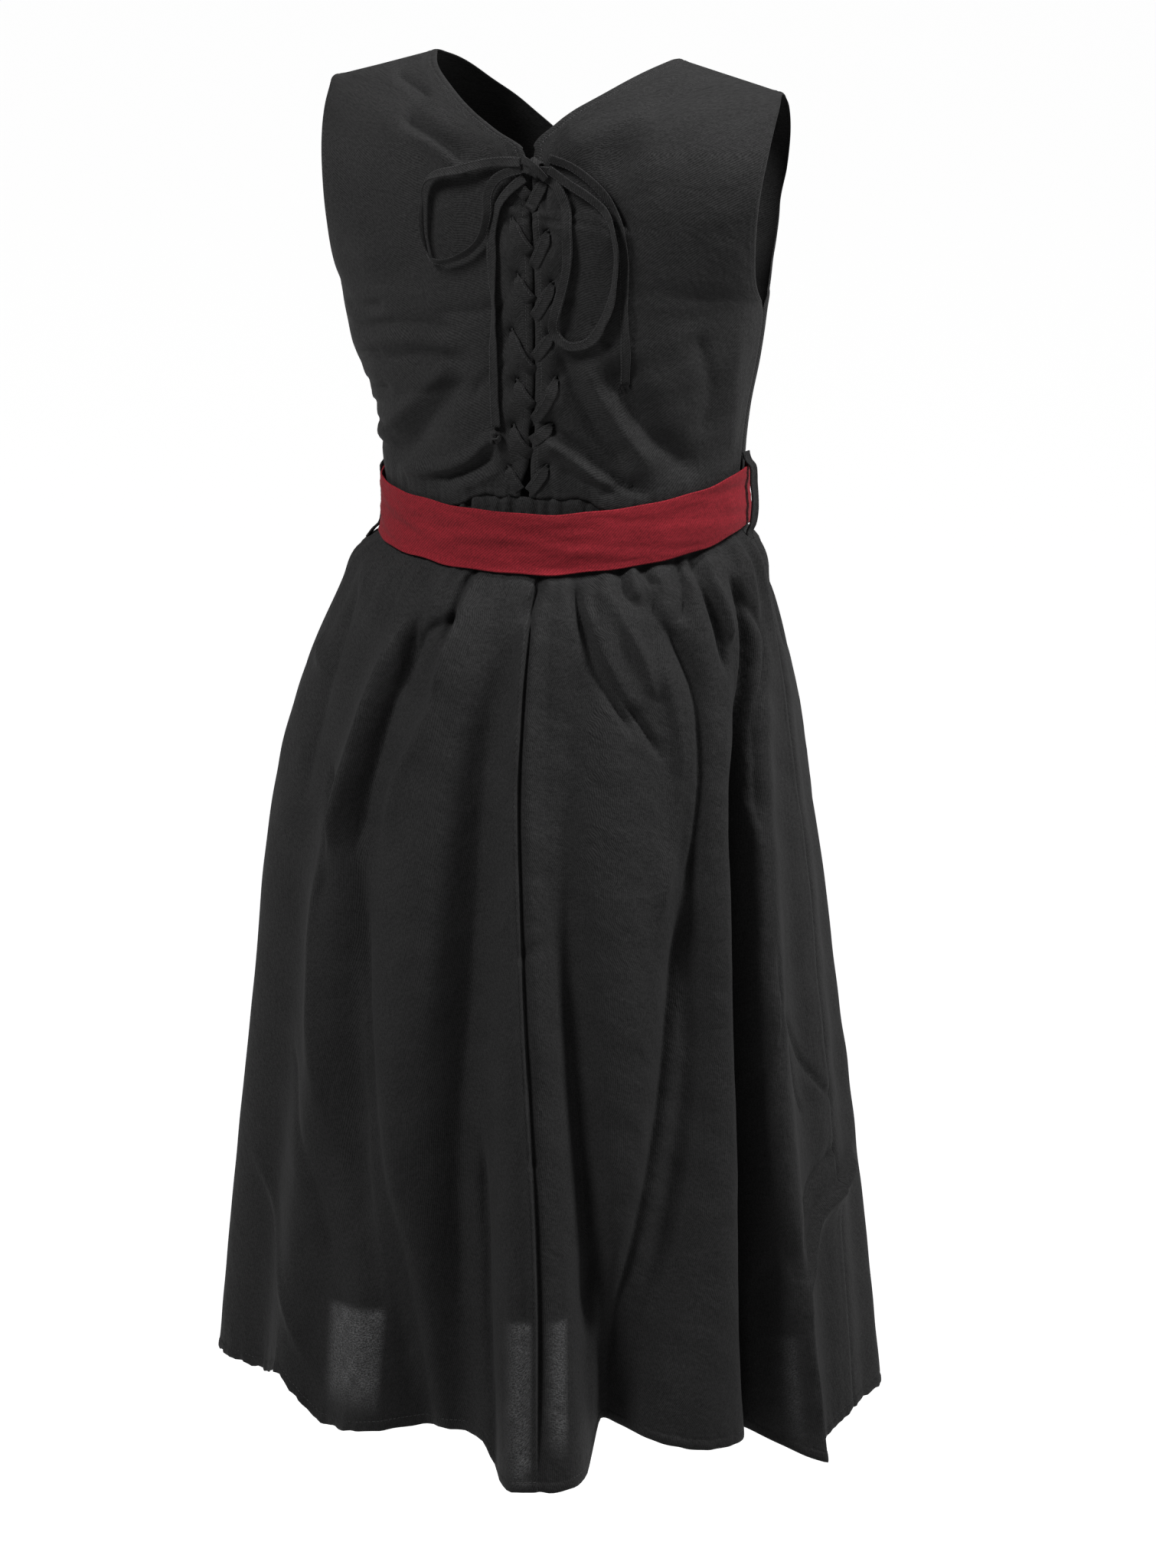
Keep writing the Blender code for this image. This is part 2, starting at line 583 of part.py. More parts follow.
def back_place(x, z, stand):
    """A point over the back's cloth at x and z, and the outward direction there."""
    row = table_row(BACK_ROWS, ROW_COLUMNS, bodice_places(BACK_ROWS, [z])[0])

    def depth(at):
        share = min(abs(at) / row["outer_x"], 1)
        bulge = (1 - share**ROW_CURVE) ** (1 / row["square"])
        return row["outer_y"] + (row["middle"] - row["outer_y"]) * bulge

    slope = (depth(x + SLOPE_STEP) - depth(x - SLOPE_STEP)) / (2 * SLOPE_STEP)
    outward = np.array([-slope, 1.0, 0.0])
    outward /= np.linalg.norm(outward)
    return np.array([x, depth(x), z]) + outward * stand, outward


def smooth_route(route, steps):
    """Points along a smooth curve through a route's own points."""
    route = np.asarray(route, float)
    gaps = np.linalg.norm(np.diff(route, axis=0), axis=1)
    along = np.concatenate([[0], np.cumsum(gaps)])
    wanted = np.linspace(0, along[-1], steps)
    tangents = np.gradient(route, along, axis=0)
    at = np.clip(np.searchsorted(along, wanted, side="right") - 1, 0, len(along) - 2)
    width = (along[at + 1] - along[at])[:, None]
    share = ((wanted - along[at]) / width[:, 0])[:, None]
    return (
        (2 * share**3 - 3 * share**2 + 1) * route[at]
        + (share**3 - 2 * share**2 + share) * width * tangents[at]
        + (3 * share**2 - 2 * share**3) * route[at + 1]
        + (share**3 - share**2) * width * tangents[at + 1]
    )


def cloth_ribbon(name, collection, paint, points):
    """A lace that lies over the back; its width follows the cloth and turns with its route."""
    placed = [back_place(*point) for point in points]
    centres = np.array([point for point, outward in placed])
    along = np.gradient(centres, axis=0)
    acrosses = [np.cross(step, outward) for step, (point, outward) in zip(along, placed)]
    return ribbon(name, collection, paint, centres, acrosses, LACE_WIDTH, LACE_THICK)


def lacing_route(side):
    """One run of the lacing, from the knot down, through eyelets on alternate backs."""
    heights = eyelet_heights()[::-1]
    route = [(side * x, heights[0] + rise, stand) for x, rise, stand in ARM_START]
    for height in heights:
        crossing = LEFT_CROSSING if side > 0 else RIGHT_CROSSING
        outside = ARM_OUTSIDE
        if height == heights[-1]:
            crossing = LEFT_CROSSING
            outside = ARM_OUTSIDE[:-2]
        route += [(side * x, height - share * crossing, stand) for x, share, stand in outside]
        if height != heights[-1]:
            rest = EYELET_PITCH - crossing
            crossed = height - crossing
            route += [(side * x, crossed - share * rest, stand) for x, share, stand in ARM_INSIDE]
        side = -side
    return [(SLIT_X + x, z, stand) for x, z, stand in route]


def lacing(name, collection, paint, side):
    """A run of lace that stands upright in the slit and the eyelets and turns with its route between."""
    route = lacing_route(side)
    placed = [back_place(*point) for point in route]
    centres = np.array([point for point, outward in placed])
    along = np.gradient(centres, axis=0)
    acrosses = []
    for step, (point, outward), (x, z, stand) in zip(along, placed, route):
        turned = np.cross(step, outward)
        turned /= np.linalg.norm(turned)
        turned = math.copysign(1.0, turned[2]) * turned
        distance = abs(x - SLIT_X)
        in_slit = fade(distance, *UPRIGHT_IN_SLIT)
        in_eyelet = 1 - fade(distance, *UPRIGHT_IN_EYELET)
        upright = max(in_slit, in_eyelet)
        acrosses.append(turned * (1 - upright) + np.array([0, 0, 1.0]) * upright)
    return ribbon(name, collection, paint, centres, acrosses, LACE_WIDTH, LACE_THICK)


def lump(name, collection, paint, middle, half_sizes, segments, rings):
    """A rounded knot of lace on the back."""
    place, outward = back_place(*middle)
    mesh = bpy.data.meshes.new(name)
    build = bmesh.new()
    bmesh.ops.create_uvsphere(build, u_segments=segments, v_segments=rings, radius=1.0)
    bmesh.ops.scale(build, vec=half_sizes, verts=build.verts[:])
    build.to_mesh(mesh)
    build.free()
    mesh.materials.append(paint)
    mesh.shade_smooth()
    made = bpy.data.objects.new(name, mesh)
    made.location = place
    collection.objects.link(made)
    return made


def main():
    clear_scene()
    garment = bpy.data.collections.new("overdress")
    bpy.context.scene.collection.children.link(garment)
    cloth = {node: material(node, BLACK, CLOTH_ROUGHNESS) for node in CLOTH_NODES}
    lace = {node: material(node, LACE_BLACK, LACE_ROUGHNESS) for node in LACE_NODES}

    bodice_front("bodice_front", garment, cloth["bodice_front"])
    bodice_back("bodice_back_left", garment, cloth["bodice_back_left"], 1)
    bodice_back("bodice_back_right", garment, cloth["bodice_back_right"], -1)
    skirt_panel("skirt_back_left", garment, cloth["skirt_back_left"], back_waves(1))
    skirt_panel("skirt_back_right", garment, cloth["skirt_back_right"], back_waves(-1))
    skirt_panel("skirt_front", garment, cloth["skirt_front"], front_waves())
    sash("sash", garment, material("sash", RED, SASH_ROUGHNESS))
    belt_loop("belt_loop_left", garment, cloth["belt_loop_left"], 1)
    belt_loop("belt_loop_right", garment, cloth["belt_loop_right"], -1)
    lacing("lacing_left_run", garment, lace["lacing_left_run"], 1)
    lacing("lacing_right_run", garment, lace["lacing_right_run"], -1)
    lump("bow_knot", garment, lace["bow_knot"], KNOT, KNOT_HALF, 16, 10)
    cloth_ribbon("bow_loop_left", garment, lace["bow_loop_left"], smooth_route(LEFT_LOOP, 28))
    cloth_ribbon("bow_loop_right", garment, lace["bow_loop_right"], smooth_route(RIGHT_LOOP, 32))
    cloth_ribbon("bow_tail_left", garment, lace["bow_tail_left"], smooth_route(LEFT_TAIL, 20))
    cloth_ribbon("bow_tail_right", garment, lace["bow_tail_right"], smooth_route(RIGHT_TAIL, 20))
    lump("tail_knot", garment, lace["tail_knot"], TAIL_KNOT, TAIL_KNOT_HALF, 10, 8)


main()
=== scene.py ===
"""The looks of a child's long black twill overdress, laced and tied at the back, with a red sash.

Each piece follows the form of its own solid, in metres and in the solids' frame: +Z up, the front
faces -Y, the wearer's left is +X, and the origin lies midway between the shoulders. Angles round the
garment are degrees from the centre back, positive towards the wearer's left.
"""
import math
import random

import bpy
import numpy as np
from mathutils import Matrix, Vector


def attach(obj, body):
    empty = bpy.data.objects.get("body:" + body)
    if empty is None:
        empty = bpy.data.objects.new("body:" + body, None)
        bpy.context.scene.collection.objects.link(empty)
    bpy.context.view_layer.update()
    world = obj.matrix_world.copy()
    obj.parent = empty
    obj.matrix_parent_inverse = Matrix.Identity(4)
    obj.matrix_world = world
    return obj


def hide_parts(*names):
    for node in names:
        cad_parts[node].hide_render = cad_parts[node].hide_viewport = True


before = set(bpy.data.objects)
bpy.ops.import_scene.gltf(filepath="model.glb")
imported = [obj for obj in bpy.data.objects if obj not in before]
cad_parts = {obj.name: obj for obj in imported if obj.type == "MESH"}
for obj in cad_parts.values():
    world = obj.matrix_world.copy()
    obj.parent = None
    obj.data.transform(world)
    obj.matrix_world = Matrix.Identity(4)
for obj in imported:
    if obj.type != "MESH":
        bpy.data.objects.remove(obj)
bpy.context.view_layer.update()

# camera at the photograph's angle: degrees round from the front and down, metres from the axis
VIEW_ROUND = 196.0
VIEW_DOWN = 14.0
VIEW_DISTANCE = 4.5
VIEW_HEIGHT = 0.62
VIEW_ASIDE = 0.0149
LENS_MM = 147.62
LENS_SHIFT = -0.0241

# soft boxes as degrees round, metres away and up, and power, and the height that they are aimed at
SOFT_BOXES = {"left": (146.0, 1.45, 1.15, 28.0), "right": (272.0, 1.40, 1.25, 46.0)}
SOFT_BOX_SIZE = (0.40, 0.70)
LIT_HEIGHT = -0.35
WORLD_STRENGTH = 0.09
FLOOR_GLOW = 0.9
FLOOR_Z = -2.0
FLOOR_REACH = 40

# colours of cloths and threads, at their darkest and lightest
BLACK = {"dark": (0.0016, 0.0016, 0.0017), "light": (0.0480, 0.0475, 0.0480)}
RED = {"dark": (0.120, 0.005, 0.009), "light": (0.420, 0.026, 0.040)}
BLACK_THREAD = {"dark": (0.014, 0.014, 0.015), "light": (0.040, 0.040, 0.041)}
RED_THREAD = {"dark": (0.170, 0.008, 0.014), "light": (0.300, 0.022, 0.032)}
# painted light: the pale grey of light shining through the skirt's cloth near the hem, mixed into the
# cloth's colour
PAINTED_BACKLIGHT_COLOUR = (0.300, 0.300, 0.305)

# patterns in the cloth: scale a millimetre, detail and roughness
SLUBS = (0.9, 3.0, 0.6)
PATCHES = (0.028, 3.0, 0.55)
MOTTLE = (0.42, 2.0, 0.7)
GRAIN = (2.6, 2.0, 0.6)
CRUMPLE = (0.055, 3.0, 0.5)
# how high the crumple, the weave and a thread's twist stand, and the scale that gives a rib a unit
CRUMPLE_HIGH = 0.0030
WEAVE_HIGH = 0.00022
TWIST_HIGH = 0.0001
RIB_SCALE = 0.314

# sizes that the solids have too
WAIST_Z = -0.300
SASH_WIDTH = 0.042
SASH_CLEAR = 0.0050
PUFF_DROP = 0.041
LAG_END = 0.2
HALF_GATHERS_BACK = 8
FRONT_GATHERS = 10
GATHER_WOBBLE = 2.2
ROW_CURVE = 2.2
EDGE_ON_SLIT = 0.003
SHIFT_SPAN = (0.070, 0.020)
SLIT_SPAN = (0.020, 0.120)
SLIT_FADE_ROWS = 1.5
V_ROW = 7
RIGHT_NECK_RISE = 0.007
LAP_ANGLE = 24.0
LAP_STAND = 0.0026
LAP_RISE = 1.8
BODICE_FLARE = 0.15
LACE_WIDTH = 0.0075
LOOP_WIDTH = 0.008

# mean radii that turn angles into lengths round the garment
WAIST_RADIUS = 0.115
SASH_RADIUS = 0.118
HEM_RADIUS = 0.22

# the cloth of the sash and the rest, the gap left at seams, and how the waist seam wavers and sinks
# under the sash at the sides: depth, and where from and how far out from the slit it sinks
CLOTH = 0.0008
SASH_CLOTH = 0.0012
SEAM_TOUCH = 0.00006
WAVER_SPAN = 0.028
SEAM_WAVER = 0.0010
SEAM_WAVERS = (0.023, 0.037, 0.0151)
SEAM_SINK = 0.013
SINK_MIDDLE = -0.006
SINK_FROM = 0.034
SINK_OVER = 0.030
UNDER_SASH = 0.0026
UNDER_SASH_FREE = 0.9
GATHER_WIDTH = 0.03

# creases: how sharp they are, the share of their length in which they die away, and their depths
MM = 0.001
CREASE_POWER = 1.45
CREASE_END = 0.18
BACK_CREASE_DEPTH = 1.9
SKIRT_CREASE_DEPTH = 2.1
SKIRT_CREASES_FROM = 0.030
SKIRT_CREASES_OVER = 0.020
SIDE_CALM = 0.020
SHOULDER_CALM_ROWS = 0.5

# turned edges: width, height, slope, then depth and width of the round edge and of the stitched groove
TURNED_WIDE = 0.0075
HEM_WIDE = 0.0080
TURNED_HIGH = 0.00045
TURNED_SLOPE = 0.0015
EDGE_ROUND = (0.0007, 0.0010)
STITCH_GROOVE = (0.00040, 0.0008)
# pressed seams: depth and width of the line, and height, width and distance of its turnings
SEAM_LINE = (0.0012, 0.0014)
SEAM_TURNINGS = (0.0005, 0.0035)
TURNINGS_AWAY = 0.0060
SHOULDER_SEAM = (0.0010, 0.0020)
SHOULDER_ROW = 0.02
WAIST_LINE = (0.0012, 0.0015)

# small uneven relief of the cloth: height, and the lengths of its ripples
BACK_PUCKERS = (0.0010, 0.0095, 0.0140, 0.0061)
FRONT_PUCKERS = (0.0010, 0.0090, 0.0150, 0.0064)
PUCKERS_END = -0.284
ROLLED_SLIT = (0.0014, 0.0030)
ROLLED_SPAN = (-0.070, -0.055)
FINE_GATHERS = (0.0011, 0.0108, 0.0172, 0.0079)
FINE_GATHER_POWER = 0.7
FINE_GATHERS_HELD = (
    (0.0, 2.0), (0.012, 1.7), (0.030, 0.6), (0.050, 1.2), (0.066, 1.3), (0.115, 0.0),
)
HEM_RIPPLES = (0.0016, 0.0131, 0.0209, 0.0083)
HEM_RIPPLES_UP = 0.012
HEM_SCALLOPS = (0.0011, 0.0150, 0.0243)
HEM_SCALLOPS_UP = 0.010
# broad unevenness: height, and the lengths of its ripples in two directions
BACK_UNEVEN = (0.0007, (0.047, 0.071), (0.053, 0.039))
FRONT_UNEVEN = (0.0008, (0.051, 0.067), (0.057, 0.043))
SKIRT_UNEVEN = (0.0008, (0.061, 0.083), (0.091, 0.067))
# how unevenly the painted light shining through the cloth is spread: its share and the lengths of its
# ripples in two directions
PAINTED_BACKLIGHT_UNEVEN = (0.30, (5.3, 3.1), (0.031, 0.019))

# eyelets: half sizes of the hole and the ring, and depth and half sizes of the cloth drawn in at each
# and puffed between two
EYELET_HOLE = (0.0015, 0.0021)
EYELET_RING = (0.0021, 0.0028)
RING_STITCHES = 40
RING_SIDES = 6
RING_WIDE = 0.00085
RING_THICKS = (0.00052, 0.00070)
EYELET_DRAW = (0.0032, 0.0045, 0.0050)
EYELET_PUFF = (0.0028, 0.0085, 0.0085)

# rows of stitching
CLOTH_STITCHES = {"pitch": 0.0031, "length": 0.0022, "thick": 0.00042, "lift": 0.00045}
SASH_STITCHES = {"pitch": 0.0026, "length": 0.0019, "thick": 0.0004, "lift": 0.0006}
LACE_STITCHES = {"pitch": 0.0024, "length": 0.0017, "thick": 0.00036, "lift": 0.0004}
# one stitch: share of its length, of its thickness, and how high it stands
STITCH_RINGS = (
    (0.0, 0.15, -0.6),
    (0.16, 0.9, 0.5),
    (0.5, 1.0, 1.0),
    (0.84, 0.9, 0.5),
    (1.0, 0.15, -0.6),
)

# how finely the pieces are made
WELD = 0.00005
WAIST_STEPS = (0.0, 0.0015, 0.0035, 0.006)
ROW_SAMPLES = 260
BODICE_ROWS = 150
BODICE_COLUMNS = 62
SKIRT_ROWS = 230
BACK_COLUMNS = 142
FRONT_COLUMNS = 176
SASH_COLUMNS = 420
EASED_ROWS = 9
EDGE_STEPS = (0.0, 0.0012, 0.0028, 0.0040, 0.0048, 0.0056, 0.0068, 0.0085)
EYELET_STEPS = tuple(0.0098 + 0.0013 * at for at in range(14))
STITCH_COLUMN = 4
SEAM_WAVES = (0.0, 0.02, 0.045, 0.075, 0.11, 0.15)
HEM_STEPS = (0.0, 0.0012, 0.0030, 0.0050, 0.0062, 0.0070, 0.0078, 0.0090, 0.0110)
HEM_STITCH_ROW = 5
SASH_SHARES = (0.0, 0.02, 0.045, 0.065, 0.10, 0.14, 0.19, 0.26, 0.34, 0.42, 0.50, 0.58, 0.66, 0.74,
               0.81, 0.86, 0.90, 0.935, 0.955, 0.98, 1.0)

# rows of the bodice: the edge is the slit or centre and then the neckline, the outer side is the side
# seam and then the armhole; middle is how far the row stands out at the centre
ROW_COLUMNS = ("edge_x", "edge_z", "outer_x", "outer_y", "outer_z", "middle", "square", "shift")
BACK_ROWS = (
    (0.000, -0.300, 0.1285, 0.000, -0.300, 0.092, 2.0, -0.0050),
    (0.000, -0.250, 0.1360, 0.000, -0.250, 0.093, 2.0, -0.0030),
    (0.000, -0.200, 0.1480, 0.000, -0.208, 0.095, 2.0, 0.0010),
    (0.000, -0.160, 0.1535, 0.000, -0.172, 0.096, 1.9, 0.0020),
    (0.000, -0.140, 0.1535, 0.022, -0.161, 0.096, 1.7, 0.0010),
    (0.000, -0.112, 0.1550, 0.040, -0.135, 0.096, 1.5, 0.0000),
    (0.000, -0.080, 0.1585, 0.052, -0.092, 0.095, 1.35, -0.0020),
    (0.002, -0.057, 0.1620, 0.045, -0.062, 0.091, 1.3, -0.0025),
    (0.022, -0.043, 0.1640, 0.030, -0.041, 0.085, 1.2, -0.0020),
    (0.050, -0.026, 0.1645, 0.014, -0.029, 0.069, 1.2, -0.0010),
    (0.076, -0.009, 0.1645, 0.006, -0.0235, 0.040, 1.2, 0.0000),
    (0.088, 0.000, 0.1645, 0.000, -0.022, 0.000, 1.2, 0.0000),
)
FRONT_ROWS = (
    (0.000, -0.300, 0.1285, 0.000, -0.300, 0.098, 2.0, -0.0050),
    (0.000, -0.250, 0.1360, 0.000, -0.250, 0.100, 2.0, -0.0030),
    (0.000, -0.205, 0.1480, 0.000, -0.208, 0.104, 2.0, 0.0010),
    (0.000, -0.165, 0.1535, 0.000, -0.172, 0.106, 1.9, 0.0020),
    (0.000, -0.148, 0.1505, 0.022, -0.162, 0.105, 1.75, 0.0010),
    (0.000, -0.126, 0.1475, 0.040, -0.142, 0.103, 1.6, 0.0000),
    (0.000, -0.096, 0.1475, 0.052, -0.110, 0.098, 1.4, -0.0015),
    (0.022, -0.072, 0.1540, 0.045, -0.080, 0.091, 1.3, -0.0020),
    (0.044, -0.049, 0.1610, 0.028, -0.053, 0.079, 1.2, -0.0015),
    (0.065, -0.028, 0.1640, 0.014, -0.034, 0.061, 1.2, -0.0010),
    (0.080, -0.010, 0.1645, 0.006, -0.0255, 0.034, 1.2, 0.0000),
    (0.088, 0.000, 0.1645, 0.000, -0.022, 0.000, 1.2, 0.0000),
)
# in the front's rows, where its middle ends and its neck starts
FRONT_V_ROW = 6
# in the front's and the backs' rows, where the side seam ends and the armhole starts
ARMHOLE_ROW = 3

# the slit from the waist up: height, middle and half width; it gapes between the lowest eyelets
SLIT_COLUMNS = ("height", "middle", "half")
SLIT_SHAPE = (
    (-0.310, -0.0020, 0.0030), (-0.291, -0.0040, 0.0034), (-0.276, -0.0065, 0.0010),
    (-0.264, -0.0078, 0.0008), (-0.252, -0.0088, 0.0019), (-0.240, -0.0098, 0.0008),
    (-0.200, -0.0112, 0.0006), (-0.120, -0.0108, 0.0006), (-0.080, -0.0085, 0.0012),
    (-0.050, -0.0060, 0.0020),
)

# creases of the back as seen, in millimetres: height over the cloth, how wide it is on the wearer's
# left and right of its line (above and below where the line runs level), and its line as (x, z)
BACK_CREASES = {
    "upper_left": (-2.6, 4, 6, ((96, -38), (74, -46), (55, -55), (36, -68))),
    "upper_left_ridge": (1.6, 5, 5, ((88, -50), (66, -56), (46, -68), (30, -78))),
    "shoulder_pleat": (-1.3, 3, 3, ((112, -14), (94, -19), (74, -26))),
    "left_slant": (-3.2, 14, 9, ((36, -214), (58, -236), (80, -262), (108, -296))),
    "left_slant_ridge": (3, 8, 10, ((48, -206), (74, -230), (100, -254), (128, -280))),
    "waist_ridge": (3.4, 4, 6, ((14, -250), (24, -262), (40, -277), (62, -286), (108, -290))),
    "waist_hollow": (-3, 5, 4, ((16, -262), (30, -276), (50, -288), (76, -295))),
    "waist_fold": (-1.8, 3, 3, ((18, -272), (36, -283), (64, -294))),
    "waist_fold_ridge": (1.5, 3, 3, ((14, -281), (32, -291), (52, -298))),
    "left_level_1": (-1.5, 6, 6, ((40, -184), (80, -183), (118, -190), (146, -200))),
    "left_level_2": (-1.6, 6, 6, ((32, -208), (70, -204), (110, -213), (146, -226))),
    "left_level_3": (1.4, 6, 6, ((36, -196), (80, -194), (120, -202), (145, -212))),
    "left_level_4": (-1.7, 7, 6, ((44, -222), (82, -234), (118, -246), (140, -256))),
    "side_1": (-1.4, 3, 3, ((104, -170), (124, -176), (146, -178))),
    "side_2": (1, 3, 3, ((98, -178), (122, -184), (147, -188))),
    "side_3": (-1.3, 2.8, 3.2, ((108, -206), (126, -208), (143, -216))),
    "side_4": (-1.4, 3, 2.8, ((104, -232), (120, -236), (138, -236))),
    "side_5": (1.1, 3, 3, ((96, -240), (118, -246), (137, -248))),
    "side_6": (-1.2, 2.6, 3, ((100, -264), (118, -262), (134, -266))),
    "side_7": (-1.2, 2.6, 2.6, ((96, -278), (114, -280), (132, -277))),
    "side_ridge": (1.2, 4, 4, ((-143, -173), (-135, -250), (-132, -282))),
    "left_eyelet_pull": (-1.2, 4, 4, ((4, -160), (30, -170), (64, -172))),
    "left_pull_2": (-1.2, 4, 4, ((4, -200), (22, -214), (40, -236))),
    "right_slant_1": (-3.6, 6, 10, ((-24, -186), (-36, -214), (-52, -246), (-78, -284))),
    "right_slant_1_ridge": (2.2, 8, 8, ((-44, -196), (-56, -226), (-72, -252), (-96, -284))),
    "right_slant_2": (-3.8, 10, 12, ((-62, -196), (-74, -226), (-88, -252), (-122, -290))),
    "right_crease": (-3.4, 3.5, 5, ((-14, -244), (-28, -255), (-46, -268), (-66, -285), (-92, -299))),
    "right_crease_ridge": (2.2, 4, 6, ((-14, -256), (-30, -266), (-48, -280), (-68, -294))),
    "right_low": (-1.6, 3, 4, ((-26, -278), (-44, -288), (-70, -297))),
    "right_pull": (-1.4, 5, 5, ((-30, -150), (-50, -170), (-68, -196))),
    "side_hollow": (-1.6, 6, 6, ((-118, -180), (-126, -222), (-120, -262))),
    "knot_lip": (2.7, 20, 1.4, ((12, -92), (-2, -97), (-24, -98.5), (-48, -99), (-66, -104),
        (-82, -114))),
    "knot_hollow": (-1.6, 2, 9, ((6, -100), (-20, -103), (-46, -103), (-66, -109), (-78, -118))),
    "knot_gather_1": (-2.2, 3, 3, ((-14, -70), (-26, -76), (-42, -88), (-56, -96))),
    "knot_gather_2": (-1.8, 3, 3, ((-12, -74), (-18, -84), (-22, -96))),
    "knot_gather_3": (-2, 4, 4, ((-18, -64), (-40, -74), (-64, -92), (-78, -110))),
    "strap_right": (1.8, 10, 12, ((-30, -56), (-60, -40), (-92, -30))),
}
# the front has no lacing: creases from the bust to the waist and at the armholes
FRONT_CREASES = {
    "bust_left": (-2.2, 8, 10, ((120, -168), (92, -196), (66, -236), (50, -284))),
    "bust_right": (-2.4, 8, 8, ((-122, -172), (-98, -204), (-74, -246), (-64, -290))),
    "waist_1": (-2, 4, 5, ((96, -262), (60, -276), (18, -284))),
    "waist_2": (2.2, 4, 5, ((84, -276), (50, -288), (10, -294))),
    "waist_3": (-2.2, 4, 5, ((-104, -254), (-64, -272), (-22, -286))),
    "waist_4": (1.8, 4, 5, ((-88, -272), (-52, -286), (-18, -294))),
    "level_1": (-1.4, 7, 7, ((100, -224), (48, -232), (-16, -228), (-80, -236))),
    "level_2": (1.3, 6, 7, ((88, -244), (30, -252), (-40, -250), (-92, -256))),
    "armhole_left": (-1.8, 5, 6, ((142, -128), (118, -140), (88, -146))),
    "armhole_right": (-2, 5, 6, ((-140, -116), (-112, -130), (-84, -138))),
    "neck_left": (-1.2, 5, 5, ((52, -52), (70, -78), (82, -108))),
    "neck_right": (-1.3, 5, 5, ((-46, -58), (-62, -84), (-70, -112))),
}

# level sections of the skirt, from the waist down
SECTION_COLUMNS = ("drop", "half_width", "back", "front", "shift")
SKIRT_SECTIONS = (
    (0.000, 0.1285, 0.092, 0.098, -0.0050),
    (0.030, 0.1290, 0.095, 0.100, -0.0060),
    (0.042, 0.1305, 0.097, 0.102, -0.0050),
    (0.050, 0.1395, 0.105, 0.108, -0.0025),
    (0.059, 0.1475, 0.111, 0.113, -0.0005),
    (0.081, 0.1555, 0.122, 0.119, 0.0010),
    (0.148, 0.1775, 0.140, 0.135, 0.0085),
    (0.216, 0.1915, 0.155, 0.148, 0.0135),
    (0.285, 0.2020, 0.167, 0.160, 0.0140),
    (0.354, 0.2080, 0.177, 0.171, 0.0135),
    (0.494, 0.2225, 0.193, 0.189, 0.0130),
    (0.636, 0.2350, 0.204, 0.202, 0.0130),
    (0.700, 0.2385, 0.208, 0.207, 0.0120),
)
HEM_DROPS = (
    (-180, 0.690), (-135, 0.682), (-90, 0.684), (-76, 0.696), (-66, 0.692), (-57, 0.671),
    (-43, 0.668), (-26, 0.655), (-22, 0.684), (-14, 0.686), (-7, 0.684), (-3, 0.664), (10, 0.660),
    (27, 0.666), (38, 0.637), (50, 0.652), (70, 0.652), (90, 0.660), (135, 0.676), (180, 0.690),
)
# folds of the skirt: angles at the top, middle and hem, where the fold starts as a share of the
# drop, how far it stands out at mid drop and at the hem, its half width there, and whether its crest
# is round (2) or flat with steep sides (more)
FOLD_COLUMNS = ("top", "mid", "hem", "start", "out_mid", "out_hem", "wide_mid", "wide_hem", "power")
SKIRT_FOLDS = {
    "left_trough": (21, 26, 9, 0.10, -0.010, -0.014, 4.0, 3.5, 2),
    "left_ridge": (30, 33, 36, 0.12, 0.007, 0.010, 5.0, 6.0, 2),
    "left_outer_trough": (44, 47, 50, 0.20, -0.006, -0.010, 6.0, 6.0, 2),
    "left_side_ridge": (62, 62, 64, 0.15, 0.003, 0.006, 7.0, 7.0, 2),
    "left_panel": (12, 13, 20, 0.05, 0.008, 0.008, 6.0, 5.0, 2),
    "centre_trough": (-1, 0, 1, 0.08, -0.012, -0.022, 5.0, 6.0, 2),
    "centre_tongue": (-9, -12, -14, 0.06, 0.010, 0.026, 6.0, 8.0, 4),
    "right_trough": (-15, -20, -26, 0.10, -0.010, -0.018, 3.5, 3.0, 2),
    "right_ridge": (-26, -31, -34, 0.05, 0.006, 0.002, 6.0, 4.0, 2),
    "slanting_trough": (-40, -46, -28, 0.08, -0.013, -0.024, 4.5, 5.0, 2),
    "right_panel": (-55, -54, -43, 0.08, 0.010, 0.010, 6.0, 8.0, 2),
    "deep_trough": (-70, -61, -57, 0.04, -0.022, -0.026, 3.5, 3.5, 2),
    "side_tip": (-80, -67, -66, 0.06, 0.008, 0.018, 4.0, 4.0, 2),
    "side_trough": (-88, -79, -80, 0.10, -0.006, -0.008, 6.0, 6.0, 2),
    "front_ridge_1": (-106, -108, -104, 0.08, 0.008, 0.014, 6.0, 6.0, 2),
    "front_trough_1": (-120, -118, -117, 0.06, -0.012, -0.022, 5.0, 5.0, 2),
    "front_ridge_2": (-131, -130, -131, 0.08, 0.009, 0.018, 5.5, 6.0, 2),
    "front_trough_2": (-146, -144, -146, 0.12, -0.014, -0.026, 4.0, 5.0, 2),
    "front_ridge_3": (-160, -158, -161, 0.07, 0.009, 0.018, 6.0, 6.5, 2),
    "front_trough_3": (-173, -176, -178, 0.06, -0.012, -0.024, 5.0, 5.0, 2),
    "front_ridge_4": (172, 169, 168, 0.10, 0.008, 0.017, 5.5, 6.0, 2),
    "front_trough_4": (158, 156, 153, 0.08, -0.013, -0.024, 4.5, 5.0, 2),
    "front_ridge_5": (146, 143, 140, 0.06, 0.009, 0.016, 5.0, 5.5, 2),
    "front_trough_5": (131, 130, 127, 0.09, -0.010, -0.020, 5.0, 5.0, 2),
    "front_ridge_6": (118, 117, 114, 0.07, 0.007, 0.014, 6.0, 6.0, 2),
    "front_trough_6": (103, 103, 101, 0.14, -0.008, -0.014, 5.0, 5.0, 2),
    "left_side_trough": (80, 80, 81, 0.15, -0.004, -0.008, 6.0, 6.0, 2),
}
